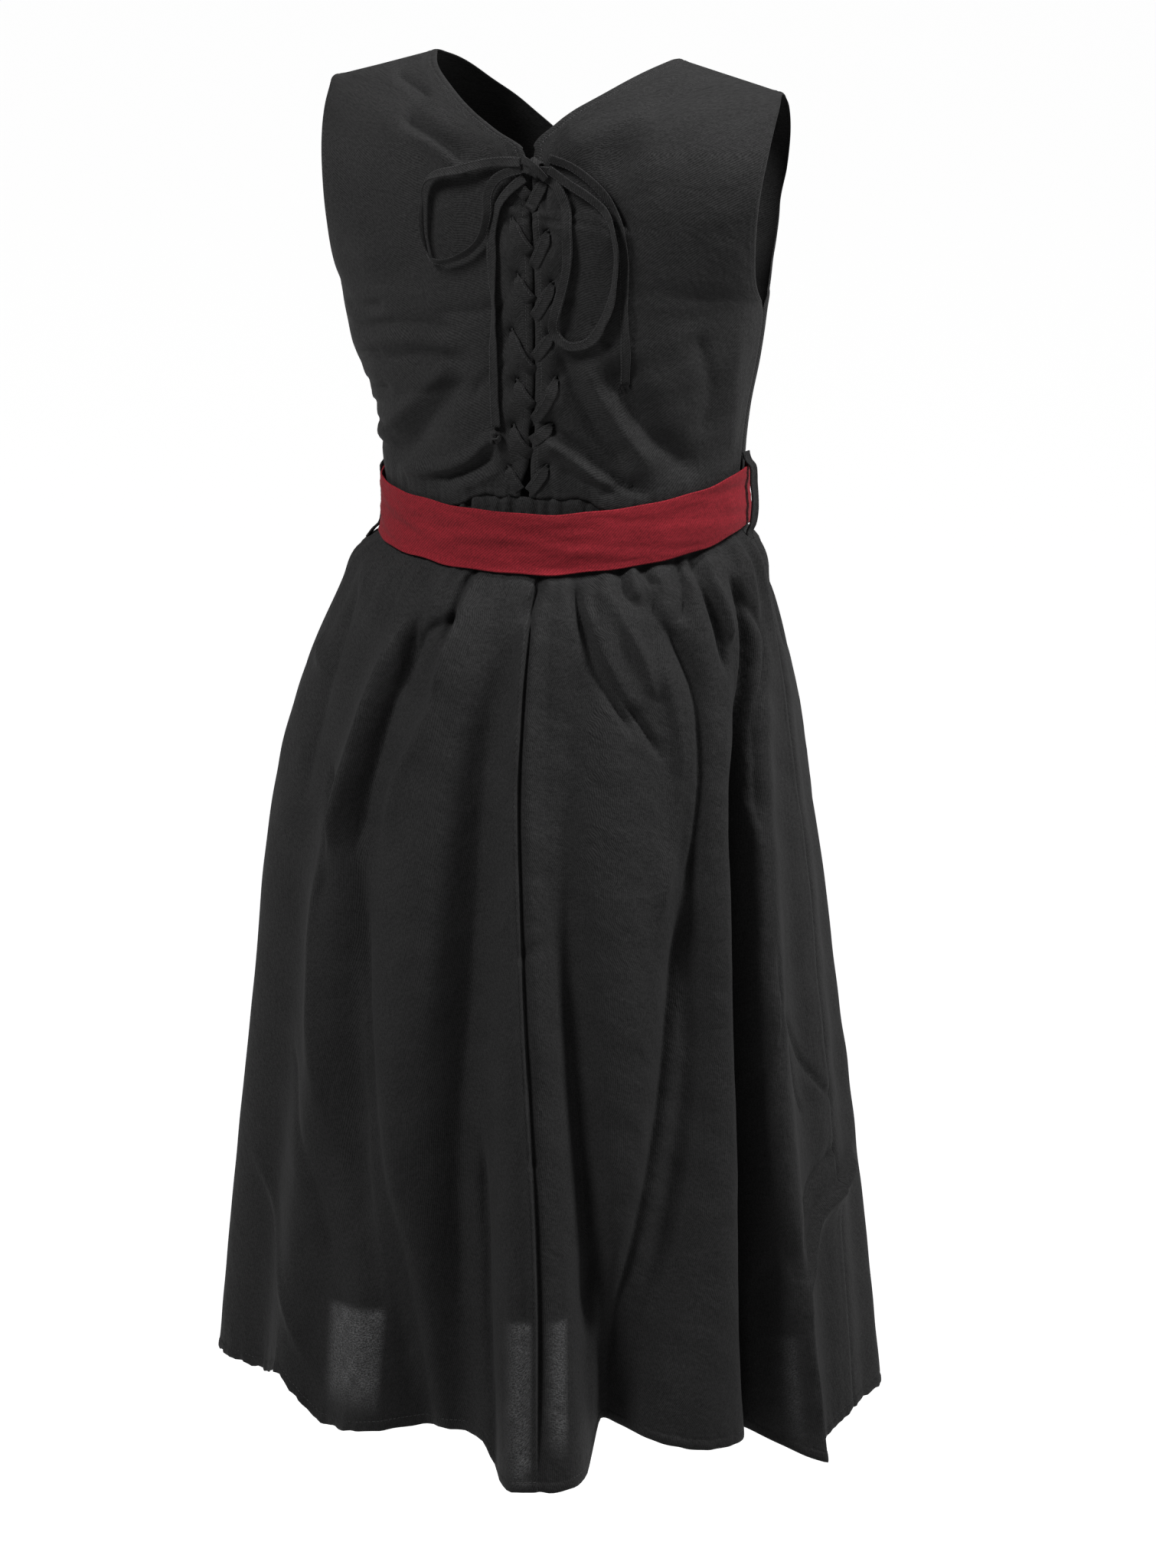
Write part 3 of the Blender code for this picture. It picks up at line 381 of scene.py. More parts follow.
# how far round the centre-back seam is at each share of the drop
SEAM_TURNS = ((0, -3), (0.10, -5), (0.26, -8), (0.50, -11), (0.85, -14), (1, -14))

# creases of the skirt, in millimetres: height, width on the wearer's left and right of the line, and
# its line as (drop, angle in degrees)
SKIRT_CREASES = {
    "left_pleat": (-4, 2.6, 7, ((40, 17), (53, 16), (68, 16), (90, 17), (104, 18))),
    "left_pleat_edge": (2.6, 5, 4, ((44, 14), (68, 13), (100, 14), (140, 15))),
    "left_tuck": (-3, 4, 5, ((80, 12), (87, 16), (95, 22), (110, 25), (150, 25))),
    "left_line": (-5.6, 4, 9, ((80, 26), (93, 27), (132, 27), (188, 28), (227, 29), (262, 29))),
    "left_line_crest": (3.4, 8, 3, ((84, 31), (132, 31), (188, 32), (227, 33), (256, 33))),
    "left_line_low": (-3, 11, 6, ((230, 29), (346, 24), (464, 17), (550, 11), (720, 6))),
    "panel_edge": (3.2, 4, 11, ((62, 15), (102, 13.6), (153, 15), (188, 19), (240, 22))),
    "left_crest": (3.4, 12, 8, ((86, 31), (192, 31), (247, 34), (299, 37), (369, 35), (470, 28))),
    "left_kink": (-2.2, 3, 6, ((190, 40), (230, 37), (262, 35), (300, 36))),
    "left_mid_ridge": (1.8, 8, 6, ((280, 29), (380, 24), (480, 19), (560, 15), (660, 12))),
    "left_low_1": (1.6, 5, 6, ((480, 58), (535, 46), (593, 35), (640, 28))),
    "left_low_2": (-1.4, 5, 6, ((394, 46), (443, 39), (499, 31), (560, 26))),
    "left_side_1": (-2, 8, 8, ((60, 62), (110, 54), (170, 50), (240, 50))),
    "left_side_2": (1.6, 6, 6, ((120, 70), (131, 60), (136, 50))),
    "panel_left": (1.8, 10, 10, ((70, 8), (150, 7), (260, 8), (400, 8))),
    "panel_hollow": (-3, 12, 10, ((110, 1), (234, 0), (340, 1), (450, 3), (600, 1))),
    "seam_top": (-3, 3, 4, ((44, -3), (54, -4), (62, -6), (72, -5), (86, -4))),
    "seam_side": (2.2, 9, 12, ((60, -8), (100, -8), (160, -10), (240, -13), (330, -14), (420, -15))),
    "right_1": (-3, 8, 8, ((40, -15), (52, -14), (71, -11), (100, -11), (159, -13), (240, -15),
        (340, -18), (420, -20), (480, -22), (560, -23), (640, -24))),
    "slant_a": (-2.6, 2.8, 4, ((50, -15), (62, -16), (88, -20), (116, -24), (145, -30), (166, -35))),
    "slant_a_crest": (2.4, 5, 5, ((60, -19), (90, -23), (118, -28), (150, -35))),
    "slant_b": (-2.6, 2.6, 4, ((44, -16), (64, -17), (93, -21), (118, -27), (148, -34), (170, -39),
        (186, -43))),
    "slant_b_crest": (2.4, 5, 5, ((50, -25), (74, -29), (100, -35), (140, -40))),
    "puff_1": (-2, 3.5, 5, ((36, -30), (44, -31), (62, -31), (74, -35), (80, -38))),
    "puff_2": (-1.8, 3, 4, ((44, -36), (53, -37), (64, -42), (75, -40), (84, -41))),
    "puff_crest": (1.8, 4.5, 4.5, ((40, -34), (52, -34), (66, -37))),
    "right_c": (-4.4, 5, 6.5, ((68, -39), (80, -41), (102, -46), (130, -50), (164, -51), (240, -49),
        (292, -45))),
    "right_c_crest": (2.6, 7, 7, ((90, -38), (130, -43), (180, -46), (240, -43), (300, -38))),
    "right_c_low": (-6.2, 12, 7, ((260, -47), (340, -42), (420, -38), (500, -33), (560, -29),
        (650, -26))),
    "right_d": (-4, 3.5, 4.5, ((34, -55), (45, -56), (66, -57), (89, -60), (111, -61), (130, -62))),
    "right_d_crest": (2.8, 4, 4, ((36, -59), (56, -61), (80, -64), (108, -66))),
    "right_d_left": (-2.6, 3, 4, ((36, -49), (50, -50), (70, -50), (88, -48))),
    "deep_line": (-7, 6, 3, ((22, -70), (48, -68), (74, -73), (103, -73), (180, -66), (242, -63),
        (353, -60), (493, -59), (600, -58), (730, -57))),
    "deep_shade": (-5, 15, 6, ((160, -64), (240, -61), (340, -58), (470, -57), (560, -56), (680, -56))),
    "deep_crest": (3.4, 3.4, 6, ((110, -76), (150, -70), (200, -67), (260, -66), (360, -63), (480, -62),
        (560, -61))),
    "side_line": (-2.8, 3.5, 5, ((60, -74), (80, -75), (107, -80), (125, -77), (151, -71), (194, -68),
        (250, -67))),
    "side_crest": (3, 5, 7, ((320, -66), (380, -65), (440, -64), (511, -64), (560, -66))),
    "tip_dark": (-3.6, 7, 2.6, ((540, -62), (597, -61), (642, -61), (730, -62))),
    "tip_arm": (-2.4, 3, 4, ((306, -68), (372, -67), (433, -61), (506, -63), (566, -65))),
    "tip_foot": (3.4, 2.8, 10, ((550, -67), (597, -65), (642, -66), (735, -67))),
    "tip_fold": (4.4, 2.2, 12, ((496, -104), (513, -92), (525, -81), (546, -72), (572, -65))),
    "tip_fold_dark": (-2.4, 8, 3, ((484, -92), (504, -80), (524, -72), (546, -66))),
    "tip_crease_1": (-1.6, 3, 3, ((360, -68), (395, -75), (430, -84), (455, -92))),
    "tip_crease_2": (-1.2, 2.5, 2.5, ((385, -69), (426, -73), (455, -78))),
    "tongue_left": (-6, 6, 4, ((430, -2), (520, -4), (590, -5), (640, -6), (740, -6))),
    "tongue_crest": (2.2, 5, 8, ((500, -9), (580, -10), (660, -10), (740, -10))),
    "tongue_right": (-4, 5, 6, ((520, -22), (590, -22), (660, -23), (740, -23))),
    "pinch": (-0.9, 5, 5, ((300, -16), (306, -12), (310, -8))),
    "pucker": (-0.9, 4, 4, ((436, -7), (446, -11), (458, -14))),
    "front_1": (-3, 6, 4, ((60, 118), (160, 116), (300, 120), (460, 118), (740, 116))),
    "front_2": (2.6, 7, 5, ((80, 128), (200, 134), (340, 137), (480, 134))),
    "front_3": (-3.4, 4, 5, ((50, 140), (90, 143), (160, 150), (230, 152))),
    "front_4": (-4, 5, 3.4, ((60, 160), (170, 158), (320, 157), (500, 155), (740, 153))),
    "front_5": (-2.8, 4, 5, ((46, 172), (80, 175), (130, 181), (200, 184))),
    "front_6": (-4.2, 3.4, 6, ((60, 186), (200, 183), (380, 184), (560, 182), (740, 181))),
    "front_7": (2.4, 5, 7, ((100, 194), (220, 196), (360, 200), (520, 201))),
    "front_8": (-3.6, 4, 5, ((48, 206), (100, 210), (170, 214), (260, 216), (400, 215))),
    "front_9": (-3, 4, 6, ((50, 226), (120, 230), (200, 236), (300, 240), (480, 242))),
    "front_10": (2.2, 5, 6, ((90, 248), (200, 250), (330, 247), (470, 249))),
    "front_11": (-2.6, 4, 4, ((46, 252), (80, 256), (130, 260))),
    "front_slant_1": (-1.4, 4, 4, ((430, 128), (500, 138), (570, 150))),
    "front_slant_2": (-1.4, 4, 4, ((520, 200), (580, 208), (640, 220))),
}
# where the hem is puckered by its stitching: angle and strength
HEM_PUCKERS = ((-180, 0.4), (-120, 0.7), (-80, 0.5), (-50, 0.25), (-20, 0.4), (0, 0.6), (12, 0.4),
               (26, 0.9), (40, 1.2), (60, 1.0), (90, 0.7), (140, 0.5), (180, 0.4))

# the sash: its top edge at each angle, where its lapped ends lie, its stitched rows and the grooves
# under them, and its softest waves
SASH_TOPS = ((-180, -0.299), (-90, -0.288), (-50, -0.300), (0, -0.311), (90, -0.302), (180, -0.299))
SASH_END_ANGLES = (-174, -162)
SASH_STITCH_ROWS = (2, 4, -3, -5)
SASH_GROOVES = (0.0019, 0.0042)
SASH_GROOVE = (0.0003, 0.0006)
SASH_EDGE = (0.0006, 0.0010)
SASH_WAVES = (0.0008, 0.083, 0.047)
SASH_SLACK = (0.0006, 0.061, 0.037)
# wrinkles of the sash: height and widths above and below in millimetres, and the line as (angle,
# share of the sash's width)
SASH_CREASES = {
    "left_1": (-1.2, 2.2, 2.2, ((34, 0.42), (24, 0.36), (16, 0.3), (8, 0.34))),
    "left_2": (1.2, 2.4, 2.4, ((32, 0.58), (22, 0.5), (12, 0.44), (4, 0.4))),
    "left_3": (-1.3, 2.2, 2.6, ((30, 0.72), (20, 0.64), (12, 0.62), (2, 0.56), (-8, 0.52))),
    "left_4": (0.9, 2.2, 2.2, ((52, 0.3), (44, 0.26), (36, 0.18))),
    "left_5": (-1, 2.2, 2.2, ((62, 0.6), (50, 0.56), (40, 0.6))),
    "middle_1": (-1, 2, 3, ((2, 0.3), (-6, 0.24), (-16, 0.22), (-26, 0.26))),
    "middle_2": (0.9, 2.8, 2.8, ((-10, 0.7), (-22, 0.62), (-34, 0.58))),
    "right_1": (-1.2, 2, 2.4, ((-40, 0.2), (-52, 0.26), (-64, 0.36), (-74, 0.5))),
    "right_2": (1, 2.2, 2.2, ((-48, 0.46), (-58, 0.54), (-70, 0.66))),
    "right_3": (-1, 2, 2, ((-60, 0.14), (-72, 0.22), (-82, 0.34))),
    "front_1": (-1.2, 2.4, 2.6, ((100, 0.34), (116, 0.4), (132, 0.52))),
    "front_2": (1, 2.6, 2.4, ((124, 0.3), (144, 0.36), (160, 0.48))),
    "front_3": (-1, 2.4, 2.6, ((150, 0.66), (168, 0.6), (180, 0.66))),
}

# how far the gathers stand out at each drop, and how strong they are at each angle
GATHER_STANDS = ((0.000, 0.0015), (0.043, 0.0015), (0.058, 0.0040), (0.135, 0.0))
GATHER_STRENGTHS = (
    (-180, 1.1), (-120, 1.0), (-84, 0.8), (-70, 1.2), (-50, 0.9), (-30, 0.7), (-16, 0.6), (0, 0.15),
    (13, 0.15), (20, 0.5), (34, 0.3), (60, 0.35), (90, 0.6), (130, 1.0), (180, 1.1),
)
# places near the hem where light shining through the cloth is painted into its colour: strength, angles
# from and to, and drops from and to
PAINTED_BACKLIGHT_PLACES = (
    (1.0, 14.8, 27.5, 0.572, 0.655), (1.0, -13.6, -8.3, 0.562, 0.690), (0.9, -19.2, -14.8, 0.562, 0.668),
    (0.4, -26.0, -23.0, 0.550, 0.622), (0.6, -64.5, -60.8, 0.598, 0.684),
)
# how softly a place of painted backlight begins and ends: degrees at its two sides, metres at its top
# and foot
PAINTED_BACKLIGHT_SIDES = (1.2, 3.0)
PAINTED_BACKLIGHT_ENDS = (0.006, 0.030)

# outline of a flat lace with turned edges: share of its half width and of its half thickness
LACE_OUTLINE = (
    (-1.00, 0.00), (-0.96, 0.62), (-0.84, 1.00), (-0.62, 0.84), (-0.30, 0.74), (0.00, 0.72),
    (0.30, 0.74), (0.62, 0.84), (0.84, 1.00), (0.96, 0.62), (1.00, 0.00),
)
LACE_THICK = 0.0012
LOOP_THICK = 0.0016
ARM_WIDTH = 0.0086
# routes carry a lace's roll in degrees and its width's share beside metres, made this small so that
# they hardly count in the route's length
ROLL_SCALE = 0.00001
WIDTH_SCALE = 0.001
# how unevenly a lace is twisted and how wide it is, and how far around it rests on the cloth
LACE_TWIST = (0.10, 0.023, 0.037)
LACE_UNEVEN = (0.07, 0.031, 0.053)
LACE_REST = 0.004
STITCHED_ABOVE = 0.0012
SLOPE_STEP = 0.002
# a lace's stitched line: how far it lies beside the middle and over the face
LACE_STITCH_LINE = (0.0025, 0.0003)
LOOP_STITCH_LINE = (0.0026, 0.0003)

# a belt loop's way over the sash: metres over its top edge, shares of its width, metres under its foot,
# each with how far out it stands
LOOP_OVER = ((0.0105, 0.0016), (0.0075, 0.0026), (0.0040, 0.0048), (0.0008, 0.0080), (-0.0060, 0.0100))
LOOP_DOWN = ((0.25, 0.0107), (0.50, 0.0114), (0.75, 0.0109))
LOOP_UNDER = ((0.0004, 0.0090), (0.0050, 0.0058), (0.0085, 0.0030), (0.0110, 0.0016))
LOOP_CLOSE = SASH_CLEAR + 0.0022

# eyelets of the two backs and where each arm of the lace enters the slit, from the top, as (x, z)
LEFT_EYELETS = ((0.0040, -0.0750), (0.0036, -0.1035), (0.0010, -0.1435), (0.0052, -0.1825),
                (0.0020, -0.2180), (0.0050, -0.2505), (0.0088, -0.2800))
RIGHT_EYELETS = ((-0.0185, -0.0750), (-0.0215, -0.1110), (-0.0242, -0.1475), (-0.0232, -0.1835),
                 (-0.0260, -0.2150), (-0.0222, -0.2480), (-0.0190, -0.2780))
LEFT_ENTRIES = ((-0.0085, -0.0880), (-0.0106, -0.1265), (-0.0108, -0.1600), (-0.0108, -0.2100),
                (-0.0100, -0.2350), (-0.0080, -0.2690), (-0.0010, -0.2965))
RIGHT_ENTRIES = ((-0.0085, -0.0960), (-0.0108, -0.1360), (-0.0108, -0.1720), (-0.0108, -0.2010),
                 (-0.0095, -0.2455), (-0.0080, -0.2600), (-0.0050, -0.2975))
# how far each arm bows away from straight
LEFT_BOWS = (0.0, 0.0012, 0.0010, 0.0018, 0.0008, 0.0020, 0.0006)
RIGHT_BOWS = (0.0, 0.0008, 0.0014, 0.0006, 0.0024, 0.0010, 0.0008)
# along an arm of the lace: share of the way, height over the cloth and share of the lace's width
ARM_OUTSIDE = ((0.0, -0.0010, 0.50), (0.05, 0.0006, 0.55), (0.16, 0.0019, 0.88), (0.45, 0.0019, 1.0),
               (0.75, 0.0017, 1.0), (0.90, 0.0010, 0.96), (1.0, -0.0012, 0.86))
ARM_INSIDE = ((0.06, -0.0028, 0.80), (0.20, -0.0034, 0.85), (0.60, -0.0034, 0.85), (0.94, -0.0026, 0.55))
ARM_START = ((0.0013, 0.0060, 0.0010, 0.9), (0.0013, 0.0058, -0.0022, 0.9),
             (0.0040, 0.0040, -0.0032, 0.8), (0.0080, 0.0015, -0.0026, 0.6))

# the tied bow: places on the back as (x, z, height over the cloth)
KNOT = (-0.0125, -0.0660, 0.0057)
KNOT_TILT = 0.45
KNOT_LEAN = 0.002
# the lace wrapped round the knot: how far out, up and aside it goes, and its width and thickness
WRAP_REACH = (0.0036, 0.0054, 0.0012)
WRAP_SIZES = (0.0076, 0.0016)
# the strands through the knot: half length, slope, arch and its bend, how far out they stand in the
# middle and fall at the ends, and their width and thickness
KNOT_STRANDS = {
    "bow_knot_strand": (0.0105, 0.0026, 0.0016, 2.2, 0.0047, 0.0042, 0.0052, 0.0015),
    "bow_knot_under": (0.0100, -0.0040, -0.0016, 0.0, 0.0012, 0.0020, 0.0062, 0.0015),
}
LEFT_LOOP = (
    (-0.0030, -0.0622, 0.0084), (0.0120, -0.0625, 0.0080), (0.0400, -0.0690, 0.0068),
    (0.0665, -0.0795, 0.0066), (0.0690, -0.0960, 0.0066), (0.0672, -0.1230, 0.0064),
    (0.0620, -0.1345, 0.0062), (0.0430, -0.1315, 0.0062), (0.0270, -0.1190, 0.0062),
    (0.0205, -0.1000, 0.0062), (0.0200, -0.0850, 0.0062), (0.0140, -0.0745, 0.0064),
    (0.0040, -0.0695, 0.0064), (-0.0032, -0.0675, 0.0064),
)
RIGHT_LOOP = (
    (-0.0222, -0.0670, 0.0060), (-0.0350, -0.0760, 0.0064), (-0.0500, -0.0850, 0.0064),
    (-0.0635, -0.0980, 0.0062), (-0.0680, -0.1150, 0.0062), (-0.0670, -0.1450, 0.0062),
    (-0.0600, -0.1710, 0.0062), (-0.0480, -0.1880, 0.0062), (-0.0360, -0.1900, 0.0062),
    (-0.0265, -0.1810, 0.0060), (-0.0290, -0.1620, 0.0056), (-0.0350, -0.1380, 0.0050),
    (-0.0360, -0.1120, 0.0042), (-0.0340, -0.0900, 0.0036), (-0.0270, -0.0780, 0.0036),
    (-0.0205, -0.0725, 0.0036),
)
LEFT_TAIL = (
    (-0.0048, -0.0735, 0.0042), (0.0040, -0.0810, 0.0044), (0.0130, -0.0930, 0.0038),
    (0.0175, -0.1080, 0.0030), (0.0185, -0.1350, 0.0028), (0.0175, -0.1650, 0.0028),
    (0.0180, -0.2000, 0.0028), (0.0172, -0.2400, 0.0028), (0.0165, -0.2505, 0.0030),
)
RIGHT_TAIL = (
    (-0.0212, -0.0600, 0.0034), (-0.0350, -0.0640, 0.0030), (-0.0500, -0.0735, 0.0030),
    (-0.0615, -0.0850, 0.0030), (-0.0700, -0.1010, 0.0030), (-0.0735, -0.1300, 0.0030),
    (-0.0730, -0.1650, 0.0030), (-0.0738, -0.1960, 0.0030), (-0.0735, -0.2180, 0.0030),
)
TAIL_KNOT = (0.0160, -0.2570, 0.0046)
# half sizes of the tail's knot, its lace's width, and its tilt
TAIL_KNOT_HALF = (0.0050, 0.0062, 0.0034)
TAIL_KNOT_LACE = 0.0050
TAIL_KNOT_TILT = 0.5
# loose threads at the cut end: how many, how far apart at the root, how long and how thick
FRAYS = 26
FRAY_ROOT = (0.0034, 0.0015)
FRAY_LENGTHS = (0.004, 0.0125)
FRAY_CURL = 0.0012
FRAY_THICK = 0.00034
FRAY_STEPS = 4
# how far each lace is turned on its edge at its own places, in degrees
LEFT_LOOP_ROLLS = (20, 12, 25, 62, 80, 78, 50, 58, 60, 30, 15, 10, 10, 10)
RIGHT_LOOP_ROLLS = (10, 15, 20, 40, 62, 60, 30, 10, 5, 15, 5, 0, 5, 10, 10, 10)
LEFT_TAIL_ROLLS = (10, 20, 35, 15, 8, 55, 12, 5, 8)
RIGHT_TAIL_ROLLS = (15, 25, 20, 30, 42, 18, 48, 15, 10)


def smooth_curve(known, values, wanted):
    """A curve through the known values that never swings past them."""
    known = np.asarray(known, float)
    values = np.asarray(values, float)
    slopes = np.diff(values) / np.diff(known)
    tangents = np.concatenate([[slopes[0]], (slopes[1:] + slopes[:-1]) / 2, [slopes[-1]]])
    turns = slopes[1:] * slopes[:-1] <= 0
    tangents[1:-1][turns] = 0
    after = np.abs(np.append(slopes, slopes[-1]))
    before = np.abs(np.insert(slopes, 0, slopes[0]))
    limit = 3 * np.minimum(after, before)
    tangents = np.clip(tangents, -limit, limit)
    wanted = np.clip(wanted, known[0], known[-1])
    at = np.clip(np.searchsorted(known, wanted, side="right") - 1, 0, len(known) - 2)
    width = known[at + 1] - known[at]
    share = (wanted - known[at]) / width
    return (
        (2 * share**3 - 3 * share**2 + 1) * values[at]
        + (share**3 - 2 * share**2 + share) * width * tangents[at]
        + (3 * share**2 - 2 * share**3) * values[at + 1]
        + (share**3 - share**2) * width * tangents[at + 1]
    )


def from_pairs(pairs, wanted, column=1):
    """A column of a short table at the wanted values of its first column."""
    return smooth_curve([row[0] for row in pairs], [row[column] for row in pairs], wanted)


def fade(value, full, none):
    """1 at the full value and 0 at the other."""
    return np.clip((none - value) / (none - full), 0, 1)


def soft_step(value):
    """From 0 to 1 with soft ends."""
    value = np.clip(value, 0, 1)
    return value * value * (3 - 2 * value)


def bell(value, wide):
    """1 at 0, falling away on both sides over this width."""
    return np.exp(-((value / wide) ** 2))


def from_back(angle):
    """The same angle counted from the centre back, from -180 to 180."""
    return (angle + 180) % 360 - 180


def table_row(table, columns, place):
    """The table's columns at a place between its rows, counted from 0."""
    places = np.arange(len(table))
    return {
        name: float(smooth_curve(places, [row[column] for row in table], place))
        for column, name in enumerate(columns)
    }


def along_line(points):
    """Distance along a line of points, from its first."""
    steps = np.linalg.norm(np.diff(points, axis=0), axis=1)
    return np.concatenate([[0], np.cumsum(steps)])


def resample(points, distances):
    """Points at the given distances along a line of points."""
    along = along_line(points)
    return np.stack([np.interp(distances, along, points[:, axis]) for axis in range(3)], axis=1)


def smooth_route(route, steps):
    """Points along a smooth curve through a route's own points."""
    route = np.asarray(route, float)
    along = along_line(route)
    wanted = np.linspace(0, along[-1], steps)
    tangents = np.gradient(route, along, axis=0)
    at = np.clip(np.searchsorted(along, wanted, side="right") - 1, 0, len(along) - 2)
    width = (along[at + 1] - along[at])[:, None]
    share = ((wanted - along[at]) / width[:, 0])[:, None]
    return (
        (2 * share**3 - 3 * share**2 + 1) * route[at]
        + (share**3 - 2 * share**2 + share) * width * tangents[at]
        + (3 * share**2 - 2 * share**3) * route[at + 1]
        + (share**3 - share**2) * width * tangents[at + 1]
    )


# creases

def crease(across, along, line, wide_left, wide_right):
    """From 0 to 1 near a line in a plane, dying away at its ends; left is greater across, going down."""
    line = smooth_route(line, 5 * len(line))
    reach = 3 * max(wide_left, wide_right)
    near = (
        (across > line[:, 0].min() - reach) & (across < line[:, 0].max() + reach)
        & (along > line[:, 1].min() - reach) & (along < line[:, 1].max() + reach)
    )
    a = across[near]
    t = along[near]
    least = np.full(a.shape, np.inf)
    side = np.zeros(a.shape)
    place = np.zeros(a.shape)
    distances = along_line(line)
    for start, step, before in zip(line[:-1], np.diff(line, axis=0), distances):
        length = math.hypot(*step)
        share = np.clip(((a - start[0]) * step[0] + (t - start[1]) * step[1]) / length**2, 0, 1)
        away = np.hypot(a - start[0] - share * step[0], t - start[1] - share * step[1])
        closer = away < least
        least = np.where(closer, away, least)
        side = np.where(closer, step[0] * (t - start[1]) - step[1] * (a - start[0]), side)
        place = np.where(closer, before + share * length, place)
    ends = place / distances[-1]
    fading = soft_step(ends / CREASE_END) * soft_step((1 - ends) / CREASE_END)
    found = np.zeros(across.shape)
    wide = np.where(side > 0, wide_left, wide_right)
    found[near] = np.exp(-((least / wide) ** CREASE_POWER)) * fading
    return found


def creases(across, along, table):
    """Every crease of a table in millimetres, added up."""
    relief = np.zeros(across.shape)
    for height, wide_left, wide_right, line in table.values():
        places = [(x * MM, z * MM) for x, z in line]
        relief += height * MM * crease(across, along, places, wide_left * MM, wide_right * MM)
    return relief


def waves(place, *lengths):
    """An uneven ripple from -1 to 1, made of sines of these lengths."""
    total = sum(np.sin(2 * np.pi * place / length + 1.7 * at) for at, length in enumerate(lengths))
    return total / len(lengths)


def unevenness(across, along, size):
    """Broad soft ripples of two directions, one across the other."""
    height, across_lengths, along_lengths = size
    return height * waves(across, *across_lengths) * waves(along, *along_lengths)


def groove(distance, size):
    """A soft groove of this depth and width at no distance."""
    depth, wide = size
    return depth * bell(distance, wide)


def mound(x, z, middle, size):
    """A round mound of this height and these half sizes."""
    height, wide, tall = size
    return height * np.exp(-(((x - middle[0]) / wide) ** 2) - ((z - middle[1]) / tall) ** 2)


# meshes

def grid_normals(grid):
    """Outward directions of a grid of points, and whether its rows and columns turn that way."""
    normals = np.cross(np.gradient(grid, axis=1), np.gradient(grid, axis=0))
    normals /= np.linalg.norm(normals, axis=2, keepdims=True) + 1e-12
    axis = np.array([0.0, 0.0, 1.0])
    from_axis = grid - grid * axis
    turned = 1 if (normals * from_axis).sum() > 0 else -1
    return normals * turned, turned > 0


def new_object(name, points, faces, uvs, paint, backlight_paint=None):
    """A smooth mesh with its cloth coordinates, in metres, in the map named cloth."""
    mesh = bpy.data.meshes.new(name)
    mesh.from_pydata([tuple(point) for point in points], [], faces)
    layer = mesh.uv_layers.new(name="cloth")
    corners = np.empty(len(mesh.loops), np.int32)
    mesh.loops.foreach_get("vertex_index", corners)
    layer.data.foreach_set("uv", np.asarray(uvs, np.float32)[corners].ravel())
    # a point attribute with the share of painted backlight, read by the cloth's material
    if backlight_paint is not None:
        attribute = mesh.attributes.new("backlight_paint", "FLOAT", "POINT")
        attribute.data.foreach_set("value", np.asarray(backlight_paint, np.float32))
    mesh.materials.append(paint)
    mesh.shade_smooth()
    made = bpy.data.objects.new(name, mesh)
    bpy.context.scene.collection.objects.link(made)
    return made


def grid_quads(rows, columns, start=0, outward=True, holes=None):
    """Faces of a grid whose points are numbered from start, without its holes."""
    first = start + np.arange((rows - 1) * columns).reshape(rows - 1, columns)[:, :-1]
    quads = np.stack([first, first + 1, first + columns + 1, first + columns], axis=-1)
    if not outward:
        quads = quads[..., ::-1]
    kept = quads.reshape(-1, 4) if holes is None else quads[~holes]
    return kept.tolist()


def grid_uvs(grid):
    """Lengths along the rows and columns, in metres."""
    across = np.linalg.norm(np.diff(grid, axis=1), axis=2)
    down = np.linalg.norm(np.diff(grid, axis=0), axis=2)
    u = np.concatenate([np.zeros((grid.shape[0], 1)), np.cumsum(across, axis=1)], axis=1)
    v = np.concatenate([np.zeros((1, grid.shape[1])), np.cumsum(down, axis=0)], axis=0)
    return np.stack([u, v], axis=2).reshape(-1, 2)


def cloth(name, grids, paint, holes=None, thickness=CLOTH, backlight_paint=None):
    """A shell of one cloth's thickness through one or more grids of points, welded where they meet; it
    may carry a share of painted backlight.
    """
    points, faces, uvs = [], [], []
    for grid in grids:
        outward = grid_normals(grid)[1]
        faces += grid_quads(*grid.shape[:2], start=len(points), outward=outward, holes=holes)
        points += grid.reshape(-1, 3).tolist()
        uvs += grid_uvs(grid).tolist()
    made = new_object(name, points, faces, uvs, paint, backlight_paint)
    if len(grids) > 1:
        weld = made.modifiers.new("Join", "WELD")
        weld.merge_threshold = WELD
    wall = made.modifiers.new("Wall", "SOLIDIFY")
    wall.thickness = thickness
    wall.offset = 0.0
    return made


def strip(name, centres, acrosses, widths, thicks, paint):
    """A flat lace or loop with turned edges; its width lies along the acrosses."""
    centres = np.asarray(centres, float)
    along = np.gradient(centres, axis=0)
    along /= np.linalg.norm(along, axis=1, keepdims=True)
    acrosses = acrosses - along * (acrosses * along).sum(1, keepdims=True)
    acrosses /= np.linalg.norm(acrosses, axis=1, keepdims=True)
    ups = np.cross(along, acrosses)
    upper = np.array(LACE_OUTLINE)
    outline = np.concatenate([upper, upper[-2:0:-1] * (1, -1)])
    flat, tall = outline[:, 0], outline[:, 1]
    sides = len(outline)
    grid = (
        centres[:, None]
        + acrosses[:, None] * flat[None, :, None] * np.reshape(widths, (-1, 1, 1)) / 2
        + ups[:, None] * tall[None, :, None] * np.reshape(thicks, (-1, 1, 1)) / 2
    )
    rows = len(centres)
    length = along_line(centres)
    points = grid.reshape(-1, 3)
    faces = []
    for row in range(rows - 1):
        for side in range(sides):
            after = (side + 1) % sides
            faces.append([row * sides + side, row * sides + after,
                          (row + 1) * sides + after, (row + 1) * sides + side])
    faces.append(list(range(sides))[::-1])
    faces.append([(rows - 1) * sides + side for side in range(sides)])
    uvs = [(flat[side] * LACE_WIDTH / 2, length[row]) for row in range(rows) for side in range(sides)]
    return new_object(name, points, faces, uvs, paint)


